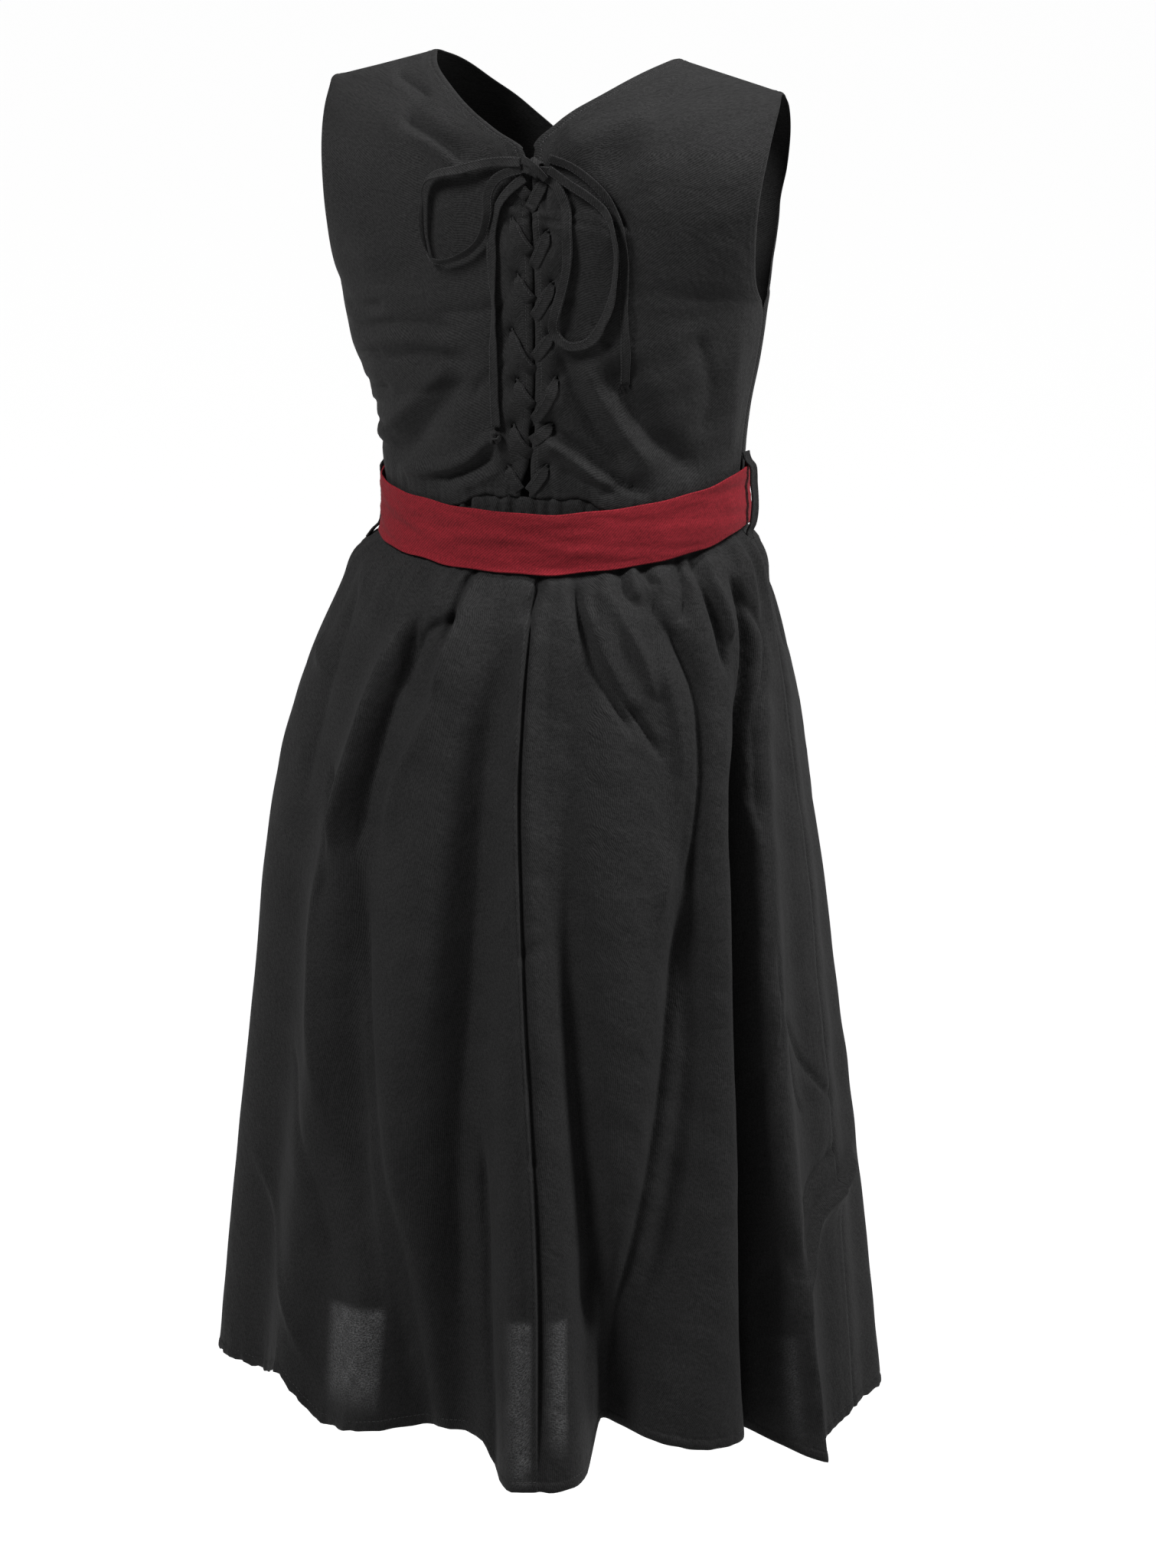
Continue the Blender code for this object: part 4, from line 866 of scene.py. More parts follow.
def stitch_points(line, normals, pitch, length, thick, lift):
    """Points and faces of a row of short threads that lie along a line on the cloth."""
    along = along_line(line)
    starts = np.arange(pitch / 2, along[-1] - length, pitch)
    points, faces = [], []
    for start in starts:
        places = resample(line, [start + share * length for share, _, _ in STITCH_RINGS])
        normal = resample(normals, [start + length / 2] * 2)[0]
        normal /= np.linalg.norm(normal) + 1e-12
        direction = places[-1] - places[0]
        beside = np.cross(direction, normal)
        beside /= np.linalg.norm(beside) + 1e-12
        first = len(points)
        for place, (_, wide, high) in zip(places, STITCH_RINGS):
            middle = place + normal * (lift + high * thick * 0.5)
            for a, b in ((1, 0), (0, 1), (-1, 0), (0, -1)):
                points.append(middle + (beside * a + normal * b * 0.7) * wide * thick / 2)
        for ring in range(len(STITCH_RINGS) - 1):
            for corner in range(4):
                after = (corner + 1) % 4
                low = first + ring * 4
                faces.append([low + corner, low + after, low + 4 + after, low + 4 + corner])
        faces.append([first + 3, first + 2, first + 1, first])
        last = first + 4 * (len(STITCH_RINGS) - 1)
        faces.append([last, last + 1, last + 2, last + 3])
    return points, faces


def stitches(name, rows, paint, pitch, length, thick, lift):
    """Rows of stitching in one mesh; each row is a line and its normals."""
    points, faces = [], []
    for line, normals in rows:
        more_points, more_faces = stitch_points(line, normals, pitch, length, thick, lift)
        faces += [[corner + len(points) for corner in face] for face in more_faces]
        points += more_points
    uvs = [(point[0], point[2]) for point in points]
    return new_object(name, points, faces, uvs, paint)


def dress(piece, slot, *nodes):
    """The piece rides on the garment and stands for the nodes; the slot is not used."""
    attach(piece, "root")
    if nodes:
        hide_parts(*nodes)
    return piece


# materials

class Shader:
    """A material's node tree with short ways to add to it."""

    def __init__(self, name):
        self.material = bpy.data.materials.new(name)
        self.material.use_nodes = True
        self.tree = self.material.node_tree
        self.surface = self.tree.nodes["Principled BSDF"]

    def add(self, kind, inputs=(), **settings):
        made = self.tree.nodes.new(kind)
        for key, value in settings.items():
            setattr(made, key, value)
        for socket, value in dict(inputs).items():
            if isinstance(value, bpy.types.NodeSocket):
                self.tree.links.new(value, made.inputs[socket])
            else:
                made.inputs[socket].default_value = value
        return made

    def maths(self, operation, first, second=0.0):
        return self.add("ShaderNodeMath", {0: first, 1: second}, operation=operation).outputs[0]

    def noise(self, place, scale, detail=2.0, rough=0.5):
        inputs = {"Vector": place, "Scale": scale, "Detail": detail, "Roughness": rough}
        return self.add("ShaderNodeTexNoise", inputs).outputs["Fac"]

    def ramp(self, value, low, high, to_low=0.0, to_high=1.0):
        inputs = {"Value": value, "From Min": low, "From Max": high, "To Min": to_low, "To Max": to_high}
        return self.add("ShaderNodeMapRange", inputs).outputs["Result"]

    def mix(self, share, first, second):
        made = self.add("ShaderNodeMix", data_type="RGBA")
        sockets = (made.inputs[0], made.inputs[6], made.inputs[7])
        for socket, value in zip(sockets, (share, first, second)):
            if isinstance(value, bpy.types.NodeSocket):
                self.tree.links.new(value, socket)
            else:
                socket.default_value = value
        return made.outputs[2]

    def stretched(self, place, scale):
        return self.add("ShaderNodeMapping", {"Vector": place, "Scale": scale}).outputs[0]

    def bump(self, height, distance, strength, before=None):
        inputs = {"Height": height, "Distance": distance, "Strength": strength}
        if before is not None:
            inputs["Normal"] = before
        return self.add("ShaderNodeBump", inputs).outputs["Normal"]

    def link(self, socket, value):
        self.tree.links.new(value, self.surface.inputs[socket])


def twill(name, dark, light, pitch_mm=1.5, slant=52.0, sheen=0.04, rough=(0.80, 0.95), crumple=0.55,
          ribs=0.8, lint=0.010, backlight_paint=False):
    """Woven twill: slanting ribs, slubs, faded patches, fine lint and a soft crumple; where asked,
    painted light shining through the cloth.
    """
    made = Shader(name)
    uv = made.add("ShaderNodeUVMap", uv_map="cloth").outputs["UV"]
    metres = {0: uv, 1: (1000, 1000, 1000)}
    mm = made.add("ShaderNodeVectorMath", metres, operation="MULTIPLY").outputs[0]
    turning = {"Vector": mm, "Rotation": (0, 0, math.radians(slant))}
    turned = made.add("ShaderNodeMapping", turning).outputs[0]
    band = {"Vector": turned, "Scale": RIB_SCALE / pitch_mm, "Distortion": 0.7, "Detail": 1.0,
            "Detail Scale": 1.5}
    rib = made.add("ShaderNodeTexWave", band).outputs["Fac"]
    slubs = made.noise(mm, *SLUBS)
    patches = made.noise(mm, *PATCHES)
    mottle = made.noise(mm, *MOTTLE)
    grain = made.noise(mm, *GRAIN)
    shade = made.maths("MULTIPLY", made.ramp(patches, 0.30, 0.70), 0.12)
    shade = made.maths("ADD", shade, made.maths("MULTIPLY", rib, 0.32))
    for pattern, share in ((slubs, 0.30), (mottle, 0.26)):
        shade = made.maths("ADD", shade, made.maths("MULTIPLY", made.ramp(pattern, 0.36, 0.64), share))
    colour = made.mix(shade, (*dark, 1), (*light, 1))
    fibres = made.noise(made.stretched(mm, (0.8, 0.25, 1)), 1.9)
    pale = tuple(value + lint * 6 for value in light)
    colour = made.mix(made.ramp(fibres, 0.735, 0.80, 0.0, 0.55), colour, (*pale, 1))
    # painted backlight: where the mesh marks it, the colour is mixed towards a pale grey in a thready
    # pattern, standing in for light shining through the cloth
    if backlight_paint:
        lit = made.add("ShaderNodeAttribute", attribute_name="backlight_paint").outputs["Fac"]
        threads = made.noise(made.stretched(mm, (0.6, 1.1, 1)), 1.0)
        share = made.maths("MULTIPLY", lit, made.ramp(threads, 0.38, 0.66, 0.12, 0.8))
        colour = made.mix(share, colour, (*PAINTED_BACKLIGHT_COLOUR, 1))
    made.link("Base Color", colour)
    made.link("Roughness", made.ramp(slubs, 0.3, 0.7, *rough))
    made.surface.inputs["Sheen Weight"].default_value = sheen
    made.surface.inputs["Sheen Roughness"].default_value = 0.45
    made.surface.inputs["Sheen Tint"].default_value = (*(min(1, 0.35 + 4 * v) for v in light), 1)
    made.surface.inputs["Specular IOR Level"].default_value = 0.16
    fine = made.maths("MULTIPLY", made.noise(mm, 0.19), 0.3)
    broad = made.maths("ADD", made.noise(mm, *CRUMPLE), fine)
    soft = made.bump(broad, CRUMPLE_HIGH, crumple)
    weave = made.maths("ADD", made.maths("MULTIPLY", rib, ribs), made.maths("MULTIPLY", grain, 0.8))
    made.link("Normal", made.bump(weave, WEAVE_HIGH, 0.65, soft))
    return made.material


def thread(name, dark, light):
    """Twisted sewing thread."""
    made = Shader(name)
    place = made.add("ShaderNodeTexCoord").outputs["Object"]
    twist = made.noise(place, 900.0, 2.0)
    made.link("Base Color", made.mix(twist, (*dark, 1), (*light, 1)))
    made.link("Roughness", made.ramp(twist, 0.3, 0.7, 0.55, 0.8))
    made.surface.inputs["Sheen Weight"].default_value = 0.2
    made.link("Normal", made.bump(twist, TWIST_HIGH, 0.5))
    return made.material


def floor_paint():
    """Pale, slightly clouded paper that glows a little."""
    made = Shader("pale_floor")
    place = made.add("ShaderNodeTexCoord").outputs["Object"]
    cloud = made.noise(place, 0.6, 2.0)
    made.link("Base Color", made.mix(cloud, (0.93, 0.93, 0.93, 1), (0.97, 0.97, 0.97, 1)))
    made.surface.inputs["Roughness"].default_value = 0.9
    made.surface.inputs["Emission Color"].default_value = (1, 1, 1, 1)
    made.surface.inputs["Emission Strength"].default_value = FLOOR_GLOW
    return made.material


# bodice

def slit_at(height, name):
    """The slit's middle or half width at a height."""
    column = SLIT_COLUMNS.index(name)
    return from_pairs(SLIT_SHAPE, height, column)


def bodice_line(row, facing):
    """One row of the wearer's left half, from its edge to its outer side; facing is 1 for the back."""
    edge = row["edge_x"] / row["outer_x"]
    share = np.sin(np.linspace(math.asin(min(edge, 1)), math.pi / 2, ROW_SAMPLES))
    bulge = np.clip(1 - share**ROW_CURVE, 0, 1) ** (1 / row["square"])
    depth = row["outer_y"] + (row["middle"] - row["outer_y"]) * bulge
    height = row["edge_z"] + (row["outer_z"] - row["edge_z"]) * (share - edge) / (1 - edge)
    return np.stack([share * row["outer_x"], facing * depth, height], axis=1)


def even_places(rows, count):
    """Places in the table of rows, evenly spaced along the middle of the piece."""
    fine = np.linspace(0, len(rows) - 1, 300)
    middles = [bodice_line(table_row(rows, ROW_COLUMNS, place), 1)[ROW_SAMPLES // 3] for place in fine]
    along = along_line(np.array(middles))
    return np.interp(np.linspace(0, along[-1], count), along, fine)


def bodice_steps(start, end, near):
    """Distances along a row: close together at both edges."""
    first = start + np.array(near)
    last = end - np.array(EDGE_STEPS)[::-1]
    middle = np.linspace(first[-1], last[0], BODICE_COLUMNS + 2)[1:-1]
    return np.concatenate([first, middle, last])


def bodice_half(rows, facing, side, near):
    """The grid of one half, each point's distance from the two edges, and each row's place."""
    places = even_places(rows, BODICE_ROWS)
    grid, from_edge, from_outer = [], [], []
    for place in places:
        row = table_row(rows, ROW_COLUMNS, place)
        points = bodice_line(row, facing)
        on_slit = facing > 0 and row["edge_x"] < EDGE_ON_SLIT
        start = float(slit_at(row["edge_z"], "half")) if on_slit else 0.0
        end = along_line(points)[-1] - SEAM_TOUCH
        steps = bodice_steps(start, end, near)
        line = resample(points, steps)
        line[:, 0] = line[:, 0] * side + row["shift"] * fade(line[:, 0], *SHIFT_SPAN)
        grid.append(line)
        from_edge.append(steps - start)
        from_outer.append(end - steps)
    grid = np.array(grid)
    grid[..., 1] = eased(grid[..., 1], EASED_ROWS)
    grid[-1, :, 1] += facing * SEAM_TOUCH
    grid[..., 2] += SEAM_TOUCH * (places == 0)[:, None]
    grid[..., 2] += seam_waver(grid[..., 0]) * fade(grid[..., 2], WAIST_Z, WAIST_Z + WAVER_SPAN)
    return grid, np.array(from_edge), np.array(from_outer), places


def eased(values, rows):
    """Values with each row averaged with its neighbours; the first and last rows stay."""
    weights = np.hanning(2 * rows + 3)[1:-1]
    padded = np.pad(values, ((rows, rows), (0, 0)), mode="reflect", reflect_type="odd")
    return sum(
        weight * padded[at:at + len(values)] for at, weight in enumerate(weights / weights.sum())
    )


def seam_waver(x):
    """How far the waist seam wavers; away from the slit it sinks under the sash."""
    sinks = soft_step((np.abs(x - SINK_MIDDLE) - SINK_FROM) / SINK_OVER)
    return SEAM_WAVER * waves(x, *SEAM_WAVERS) - SEAM_SINK * sinks


def slit_shift(x, z, place):
    """How far the backs lie aside near the slit."""
    near_slit = slit_at(z, "middle") * fade(np.abs(x), *SLIT_SPAN)
    return near_slit * fade(place, V_ROW, V_ROW + SLIT_FADE_ROWS)


def turned_edge(distance, wide=TURNED_WIDE, stitched=EDGE_STEPS[STITCH_COLUMN]):
    """Relief of a narrow turned edge, stitched at a distance from it."""
    return (
        TURNED_HIGH * soft_step((wide - distance) / TURNED_SLOPE)
        - groove(distance, EDGE_ROUND)
        - groove(distance - stitched, STITCH_GROOVE)
    )


def pressed_seam(distance):
    """Relief of a plain seam with its turnings pressed behind the cloth."""
    return groove(np.abs(distance) - TURNINGS_AWAY, SEAM_TURNINGS) - groove(distance, SEAM_LINE)


def eyelet_relief(x, z):
    """Cloth drawn in at each eyelet and puffed between them."""
    relief = np.zeros(np.shape(x))
    for eyelets in (LEFT_EYELETS, RIGHT_EYELETS):
        for eye in eyelets:
            relief -= mound(x, z, eye, EYELET_DRAW)
        for upper, lower in zip(eyelets, eyelets[1:]):
            between = ((upper[0] + lower[0]) / 2, (upper[1] + lower[1]) / 2)
            relief += mound(x, z, between, EYELET_PUFF)
    return relief


def waist_puckers(x, z, height, *lengths):
    """Small puckers just above the waist seam."""
    return height * waves(x, *lengths) * fade(z, WAIST_Z, PUCKERS_END)


def back_relief(x, z):
    """Creases of the backs at x and z."""
    x = np.atleast_1d(np.asarray(x, float))
    z = np.atleast_1d(np.asarray(z, float))
    relief = BACK_CREASE_DEPTH * creases(x, z, BACK_CREASES) + eyelet_relief(x, z)
    relief += waist_puckers(x, z, *BACK_PUCKERS)
    relief -= groove(np.abs(x - slit_at(z, "middle")), ROLLED_SLIT) * fade(z, *ROLLED_SPAN)
    return relief + unevenness(x + 0.6 * z, z - 0.3 * x, BACK_UNEVEN)


def front_relief(x, z):
    """Creases of the front at x and z."""
    relief = creases(x, z, FRONT_CREASES) + waist_puckers(x, z, *FRONT_PUCKERS)
    return relief + unevenness(x + 0.5 * z, z - 0.4 * x, FRONT_UNEVEN)


def edge_relief(from_edge, from_outer, places):
    """Turned neck, slit and armhole edges, and pressed side and shoulder seams."""
    armhole = np.clip((places - ARMHOLE_ROW) * 4, 0, 1)[:, None]
    sides = turned_edge(from_outer) * armhole + pressed_seam(from_outer) * (1 - armhole)
    to_shoulder = (places[-1] - places)[:, None] * np.full_like(from_edge, SHOULDER_ROW)
    return turned_edge(from_edge) + sides - groove(to_shoulder, SHOULDER_SEAM)


def calm_edges(from_outer, places):
    """0 at the side and shoulder seams, where no crease may move them, and 1 further in."""
    to_shoulder = (places[-1] - places)[:, None]
    return soft_step(from_outer / SIDE_CALM) * soft_step(to_shoulder / SHOULDER_CALM_ROWS)


def raised(grid, relief):
    """The grid moved outward by its relief."""
    return grid + grid_normals(grid)[0] * relief[..., None]


def eyelet_holes(grid, eyelets):
    """Which faces of the grid lie inside an eyelet."""
    middles = (grid[:-1, :-1] + grid[1:, :-1] + grid[:-1, 1:] + grid[1:, 1:]) / 4
    holes = np.zeros(middles.shape[:2], bool)
    wide, tall = EYELET_HOLE
    for x, z in eyelets:
        holes |= ((middles[..., 0] - x) / wide) ** 2 + ((middles[..., 2] - z) / tall) ** 2 < 1
    return holes


def bodice_back(name, side, eyelets, paint):
    """One back; returns it and its rows of stitching."""
    grid, from_edge, from_outer, places = bodice_half(BACK_ROWS, 1, side, EDGE_STEPS + EYELET_STEPS)
    column = places[:, None]
    grid[..., 0] += slit_shift(grid[..., 0], grid[..., 2], column)
    if side < 0:
        share = np.clip((places - V_ROW) / (len(BACK_ROWS) - 1 - V_ROW), 0, 1)
        rise = RIGHT_NECK_RISE * np.sin(np.pi * share**0.8)
        grid[..., 2] += rise[:, None] * np.linspace(1, 0, grid.shape[1]) ** 1.5
    relief = back_relief(grid[..., 0].ravel(), grid[..., 2].ravel()).reshape(from_edge.shape)
    relief *= calm_edges(from_outer, places)
    grid = raised(grid, relief + edge_relief(from_edge, from_outer, places))
    made = cloth(name, [grid], paint, holes=eyelet_holes(grid, eyelets))
    return made, edge_rows(grid, places)


def edge_rows(grid, places):
    """Lines of stitching along the edge and the armhole of a half."""
    normals = grid_normals(grid)[0]
    armhole = places > ARMHOLE_ROW + 0.1
    last = -1 - STITCH_COLUMN
    return [
        (grid[2:-1, STITCH_COLUMN], normals[2:-1, STITCH_COLUMN]),
        (grid[armhole, last][:-1], normals[armhole, last][:-1]),
    ]


def bodice_front(name, paint):
    """The front, in one piece; returns it and its rows of stitching."""
    grids, rows = [], []
    for side in (1, -1):
        grid, from_edge, from_outer, places = bodice_half(FRONT_ROWS, -1, side, EDGE_STEPS)
        relief = front_relief(grid[..., 0], grid[..., 2])
        relief *= calm_edges(from_outer, places)
        on_neck = np.clip((places - FRONT_V_ROW) * 2, 0, 1)[:, None]
        edges = edge_relief(from_edge, from_outer, places) - turned_edge(from_edge) * (1 - on_neck)
        grid = raised(grid, relief + edges)
        grid[:, 0, 0] = np.where(places <= FRONT_V_ROW, 0, grid[:, 0, 0])
        grids.append(grid)
        (line, normals), armhole = edge_rows(grid, places)
        neck = places[2:-1] > FRONT_V_ROW + 0.3
        rows += [(line[neck], normals[neck]), armhole]
    return cloth(name, grids, paint), rows


def back_place(x, z, stand):
    """A point this far over the back's cloth at x and z, and the outward direction there."""
    fine = np.linspace(0, len(BACK_ROWS) - 1, 2001)
    edges = smooth_curve(np.arange(len(BACK_ROWS)), [row[1] for row in BACK_ROWS], fine)
    row = table_row(BACK_ROWS, ROW_COLUMNS, float(fine[np.argmin(np.abs(edges - z))]))

    def depth(at):
        share = min(abs(at) / row["outer_x"], 1)
        bulge = (1 - share**ROW_CURVE) ** (1 / row["square"])
        return row["outer_y"] + (row["middle"] - row["outer_y"]) * bulge

    slope = (depth(x + SLOPE_STEP) - depth(x - SLOPE_STEP)) / (2 * SLOPE_STEP)
    outward = np.array([-slope, 1.0, 0.0])
    outward /= np.linalg.norm(outward)
    return np.array([x, depth(x), z]) + outward * (stand + over_creases(x, z)), outward


def over_creases(x, z):
    """What a lace rests on: the highest cloth within its own width."""
    steps = (-LACE_REST, 0, LACE_REST)
    around = [(x + a, z + b) for a in steps for b in steps]
    heights = back_relief([a for a, b in around], [b for a, b in around])
    return float(0.5 * heights.max() + 0.5 * heights.mean())


# skirt

def gather_angle(wave, share):
    """The angle at which a gather's phase is reached; gathers are unevenly wide."""
    back_share = wave / HALF_GATHERS_BACK
    wobble = GATHER_WOBBLE * np.sin(np.pi * 3 * back_share)
    back = 90 * back_share + wobble + from_pairs(SEAM_TURNS, share) * (1 - np.abs(back_share))
    front_share = (np.abs(wave) - HALF_GATHERS_BACK) / FRONT_GATHERS * 2
    front = 90 + 90 * front_share + GATHER_WOBBLE * np.sin(np.pi * 2 * front_share)
    return np.where(np.abs(wave) <= HALF_GATHERS_BACK, back, np.copysign(front, wave))


def skirt_section(drop):
    """The half width, depths and shift of the level section at a drop."""
    return {
        name: from_pairs(SKIRT_SECTIONS, drop, column) for column, name in enumerate(SECTION_COLUMNS)
    }


def ring_place(section, angle, stand, height):
    """Points of level rings, pushed out along the ring's normal."""
    turn = np.radians(angle)
    depth = np.where(np.cos(turn) >= 0, section["back"], section["front"])
    x = section["half_width"] * np.sin(turn)
    y = depth * np.cos(turn)
    out_x = np.sin(turn) / section["half_width"]
    out_y = np.cos(turn) / depth
    length = np.hypot(out_x, out_y)
    x = x + out_x / length * stand + section["shift"]
    return np.stack([x, y + out_y / length * stand, height * np.ones_like(x)], axis=-1)


def fold_stand(angle, share):
    """How far the folds push the skirt out at an angle and a share of its drop."""
    stand = np.zeros(angle.shape)
    for values in SKIRT_FOLDS.values():
        fold = dict(zip(FOLD_COLUMNS, values))
        middle = smooth_curve((0, 0.5, 1), (fold["top"], fold["mid"], fold["hem"]), share)
        away = np.abs(from_back(angle - middle))
        out = np.interp(share, (fold["start"], 0.5, 1), (0, fold["out_mid"], fold["out_hem"]))
        wide = np.interp(share, (0, 0.5, 1), (fold["wide_mid"] + 1, fold["wide_mid"], fold["wide_hem"]))
        stand += np.where(share > fold["start"], out, 0) * np.exp(-((away / wide) ** fold["power"]))
    return stand


def sash_top(angle):
    """The height of the sash's top edge."""
    return from_pairs(SASH_TOPS, from_back(angle))


def puff_lag(angle, drop):
    """How much lower than the table's the puff starts, to follow the foot of the slanting sash."""
    foot = WAIST_Z - (sash_top(angle) - SASH_WIDTH)
    return (foot - PUFF_DROP) * np.maximum(0.0, 1 - drop / LAG_END)


def girth_radius(drop):
    """The mean radius that turns angles into metres round the skirt."""
    section = skirt_section(drop)
    return (section["half_width"] + section["back"]) / 2


def seam_line():
    """The centre-back seam as a crease's line, a little past the hem, from its own turns."""
    shares = np.linspace(0.0, 1.05, 15)
    mean_drop = 675
    return tuple((share * mean_drop, float(from_pairs(SEAM_TURNS, share))) for share in shares)


def skirt_creases(angle, drop):
    """Creases, on a plane of metres round the skirt and metres down; angles run on past the back."""
    relief = np.zeros(angle.shape)
    table = dict(SKIRT_CREASES)
    table["seam_lip"] = (2.8, 4.0, 0.6, seam_line())
    table["seam_hollow"] = (-3.4, 0.6, 2.2, seam_line())
    for height, wide_left, wide_right, line in table.values():
        middle = sum(turn for _, turn in line) / len(line)
        across = np.radians(from_back(angle - middle) + middle) * girth_radius(drop)
        places = [
            (math.radians(turn) * float(girth_radius(down * MM)), -down * MM) for down, turn in line
        ]
        relief += height * MM * crease(across, -drop, places, wide_left * MM, wide_right * MM)
    return relief


def fine_gathers(angle, drop):
    """Small uneven gathers that the waist seam throws, dying away below the sash."""
    height, *lengths = FINE_GATHERS
    strength = 0.55 + 0.45 * np.sin(np.radians(angle) * 2.6 + 0.8)
    ripple = waves(np.radians(angle) * WAIST_RADIUS, *lengths)
    held = np.interp(drop, *zip(*FINE_GATHERS_HELD))
    calm = 0.45 + 0.55 * from_pairs(GATHER_STRENGTHS, from_back(angle))
    rounded = np.sign(ripple) * np.abs(ripple) ** FINE_GATHER_POWER
    return height * rounded * held * strength * np.where(drop < SKIRT_CREASES_FROM, 1, calm)


def hem_ripples(angle, up, sizes, reach):
    """Ripples that the hem's stitching throws, dying away upwards."""
    height, *lengths = sizes
    strength = from_pairs(HEM_PUCKERS, from_back(angle))
    return height * strength * waves(np.radians(angle) * HEM_RADIUS, *lengths) * np.exp(-up / reach)


def side_seam(wave):
    """Relief of the side seams, whose places are counted in gathers."""
    return pressed_seam((np.abs(wave) - HALF_GATHERS_BACK) * GATHER_WIDTH)


def painted_backlight_share(angle, drop):
    """How much light shining through the cloth is painted into its colour, from 0 to 1."""
    found = np.zeros(angle.shape)
    for strength, low, high, top, foot in PAINTED_BACKLIGHT_PLACES:
        sides = soft_step((angle - low) / PAINTED_BACKLIGHT_SIDES[0]) * soft_step((high - angle) / PAINTED_BACKLIGHT_SIDES[1])
        ends = soft_step((drop - top) / PAINTED_BACKLIGHT_ENDS[0]) * soft_step((foot - drop) / PAINTED_BACKLIGHT_ENDS[1])
        uneven = 1 - PAINTED_BACKLIGHT_UNEVEN[0] + unevenness(angle + 60 * drop, drop, PAINTED_BACKLIGHT_UNEVEN)
        found = np.maximum(found, strength * sides * ends * uneven)
    return found


def gather_ruffle(wave, angle, level):
    """How far the gathers stand out below the sash."""
    ruffle = np.interp(level, *zip(*GATHER_STANDS)) * np.sin(2 * np.pi * wave)
    uneven = 0.75 + 0.25 * np.sin(2.3 * wave) * np.cos(0.9 * wave)
    return ruffle * uneven * from_pairs(GATHER_STRENGTHS, from_back(angle))


def skirt_grid(wave_line, shares):
    """A grid of the skirt at these gathers and shares of the drop, and how much painted backlight its
    cloth shows.
    """
    wave, share = np.meshgrid(wave_line, shares)
    angle = gather_angle(wave, share)
    hem = from_pairs(HEM_DROPS, from_back(angle))
    drop = share * hem
    up = hem - drop
    level = np.maximum(0.0, drop - puff_lag(angle, drop))
    creased = SKIRT_CREASE_DEPTH * skirt_creases(angle, drop)
    creased += unevenness(np.radians(angle) * 0.2 + 0.4 * drop, drop, SKIRT_UNEVEN)
    stand = gather_ruffle(wave, angle, level) + fold_stand(angle, share) + fine_gathers(angle, drop)
    stand += creased * soft_step((drop - SKIRT_CREASES_FROM) / SKIRT_CREASES_OVER)
    stand += turned_edge(up, HEM_WIDE, HEM_STEPS[HEM_STITCH_ROW])
    stand += hem_ripples(angle, up, HEM_RIPPLES, HEM_RIPPLES_UP)
    stand += side_seam(wave) - groove(drop, WAIST_LINE)
    below_sash = np.maximum(0.0, sash_top(angle) - SASH_WIDTH - (WAIST_Z - drop))
    stand = np.minimum(stand, UNDER_SASH + UNDER_SASH_FREE * below_sash)
    scallop = hem_ripples(angle, up, HEM_SCALLOPS, HEM_SCALLOPS_UP)
    grid = ring_place(skirt_section(level), angle, stand, WAIST_Z - SEAM_TOUCH - drop + scallop)
    grid[..., 2] += seam_waver(grid[..., 0]) * fade(drop, 0, WAVER_SPAN)
    return grid, painted_backlight_share(angle, drop)


def skirt_shares():
    """Rows from the waist down, close together at the hem."""
    mean_drop = 0.67
    foot = [1 - step / mean_drop for step in HEM_STEPS][::-1]
    between = np.linspace(WAIST_STEPS[-1], foot[0], SKIRT_ROWS)[1:-1]
    return np.concatenate([WAIST_STEPS, between, foot])


def skirt_panel(name, start, end, columns, paint):
    """A panel between two gathers; past half way round the gathers count back from the other side."""
    near = np.array(SEAM_WAVES)
    middle = np.linspace(start + near[-1], end - near[-1], columns)[1:-1]
    line = np.concatenate([start + near, middle, (end - near)[::-1]])
    whole = 2 * HALF_GATHERS_BACK + FRONT_GATHERS
    grid, backlight_paint = skirt_grid(np.where(line > whole / 2, line - whole, line), skirt_shares())
    normals = grid_normals(grid)[0]
    row = -1 - HEM_STITCH_ROW
    return cloth(name, [grid], paint, backlight_paint=backlight_paint.ravel()), [(grid[row], normals[row])]


# sash and belt loops

def waist_ring(height, angle, stand):
    """Points on the bodice's foot or the skirt's head, moved out."""
    drop = np.maximum(0.0, WAIST_Z - height)
    section = skirt_section(np.maximum(0.0, drop - puff_lag(angle, drop)))
    section["half_width"] = section["half_width"] + BODICE_FLARE * np.maximum(0.0, height - WAIST_Z)
    return ring_place(section, angle, stand, height)


def sash(name, paint):
    """The sash, edge stitched twice, with its hidden ends lapped at the front."""
    start, end = SASH_END_ANGLES[0], SASH_END_ANGLES[1] + 360
    angle, share = np.meshgrid(np.linspace(start, end, SASH_COLUMNS), SASH_SHARES)
    lap = np.maximum(0.0, 1 - (end - angle) / LAP_ANGLE)
    stand = SASH_CLEAR + LAP_STAND * np.minimum(1.0, lap * LAP_RISE)
    girth = np.radians(angle) * SASH_RADIUS
    for height, wide_up, wide_down, line in SASH_CREASES.values():
        places = [(math.radians(turn) * SASH_RADIUS, -down * SASH_WIDTH) for turn, down in line]
        found = crease(girth, -share * SASH_WIDTH, places, wide_down * MM, wide_up * MM)
        stand = stand + height * MM * found
    high, *lengths = SASH_WAVES
    stand += high * waves(girth + 0.2 * share, *lengths) * np.sin(np.pi * share)
    from_edge = np.minimum(share, 1 - share) * SASH_WIDTH
    stand -= groove(from_edge, SASH_EDGE)
    for stitched in SASH_GROOVES:
        stand -= groove(from_edge - stitched, SASH_GROOVE)
    high, *lengths = SASH_SLACK
    slack = high * waves(girth, *lengths)
    grid = waist_ring(sash_top(angle) + slack - SASH_WIDTH * share, angle, stand)
    normals = grid_normals(grid)[0]
    rows = [(grid[row], normals[row]) for row in SASH_STITCH_ROWS]
    return cloth(name, [grid], paint, thickness=SASH_CLOTH), rows


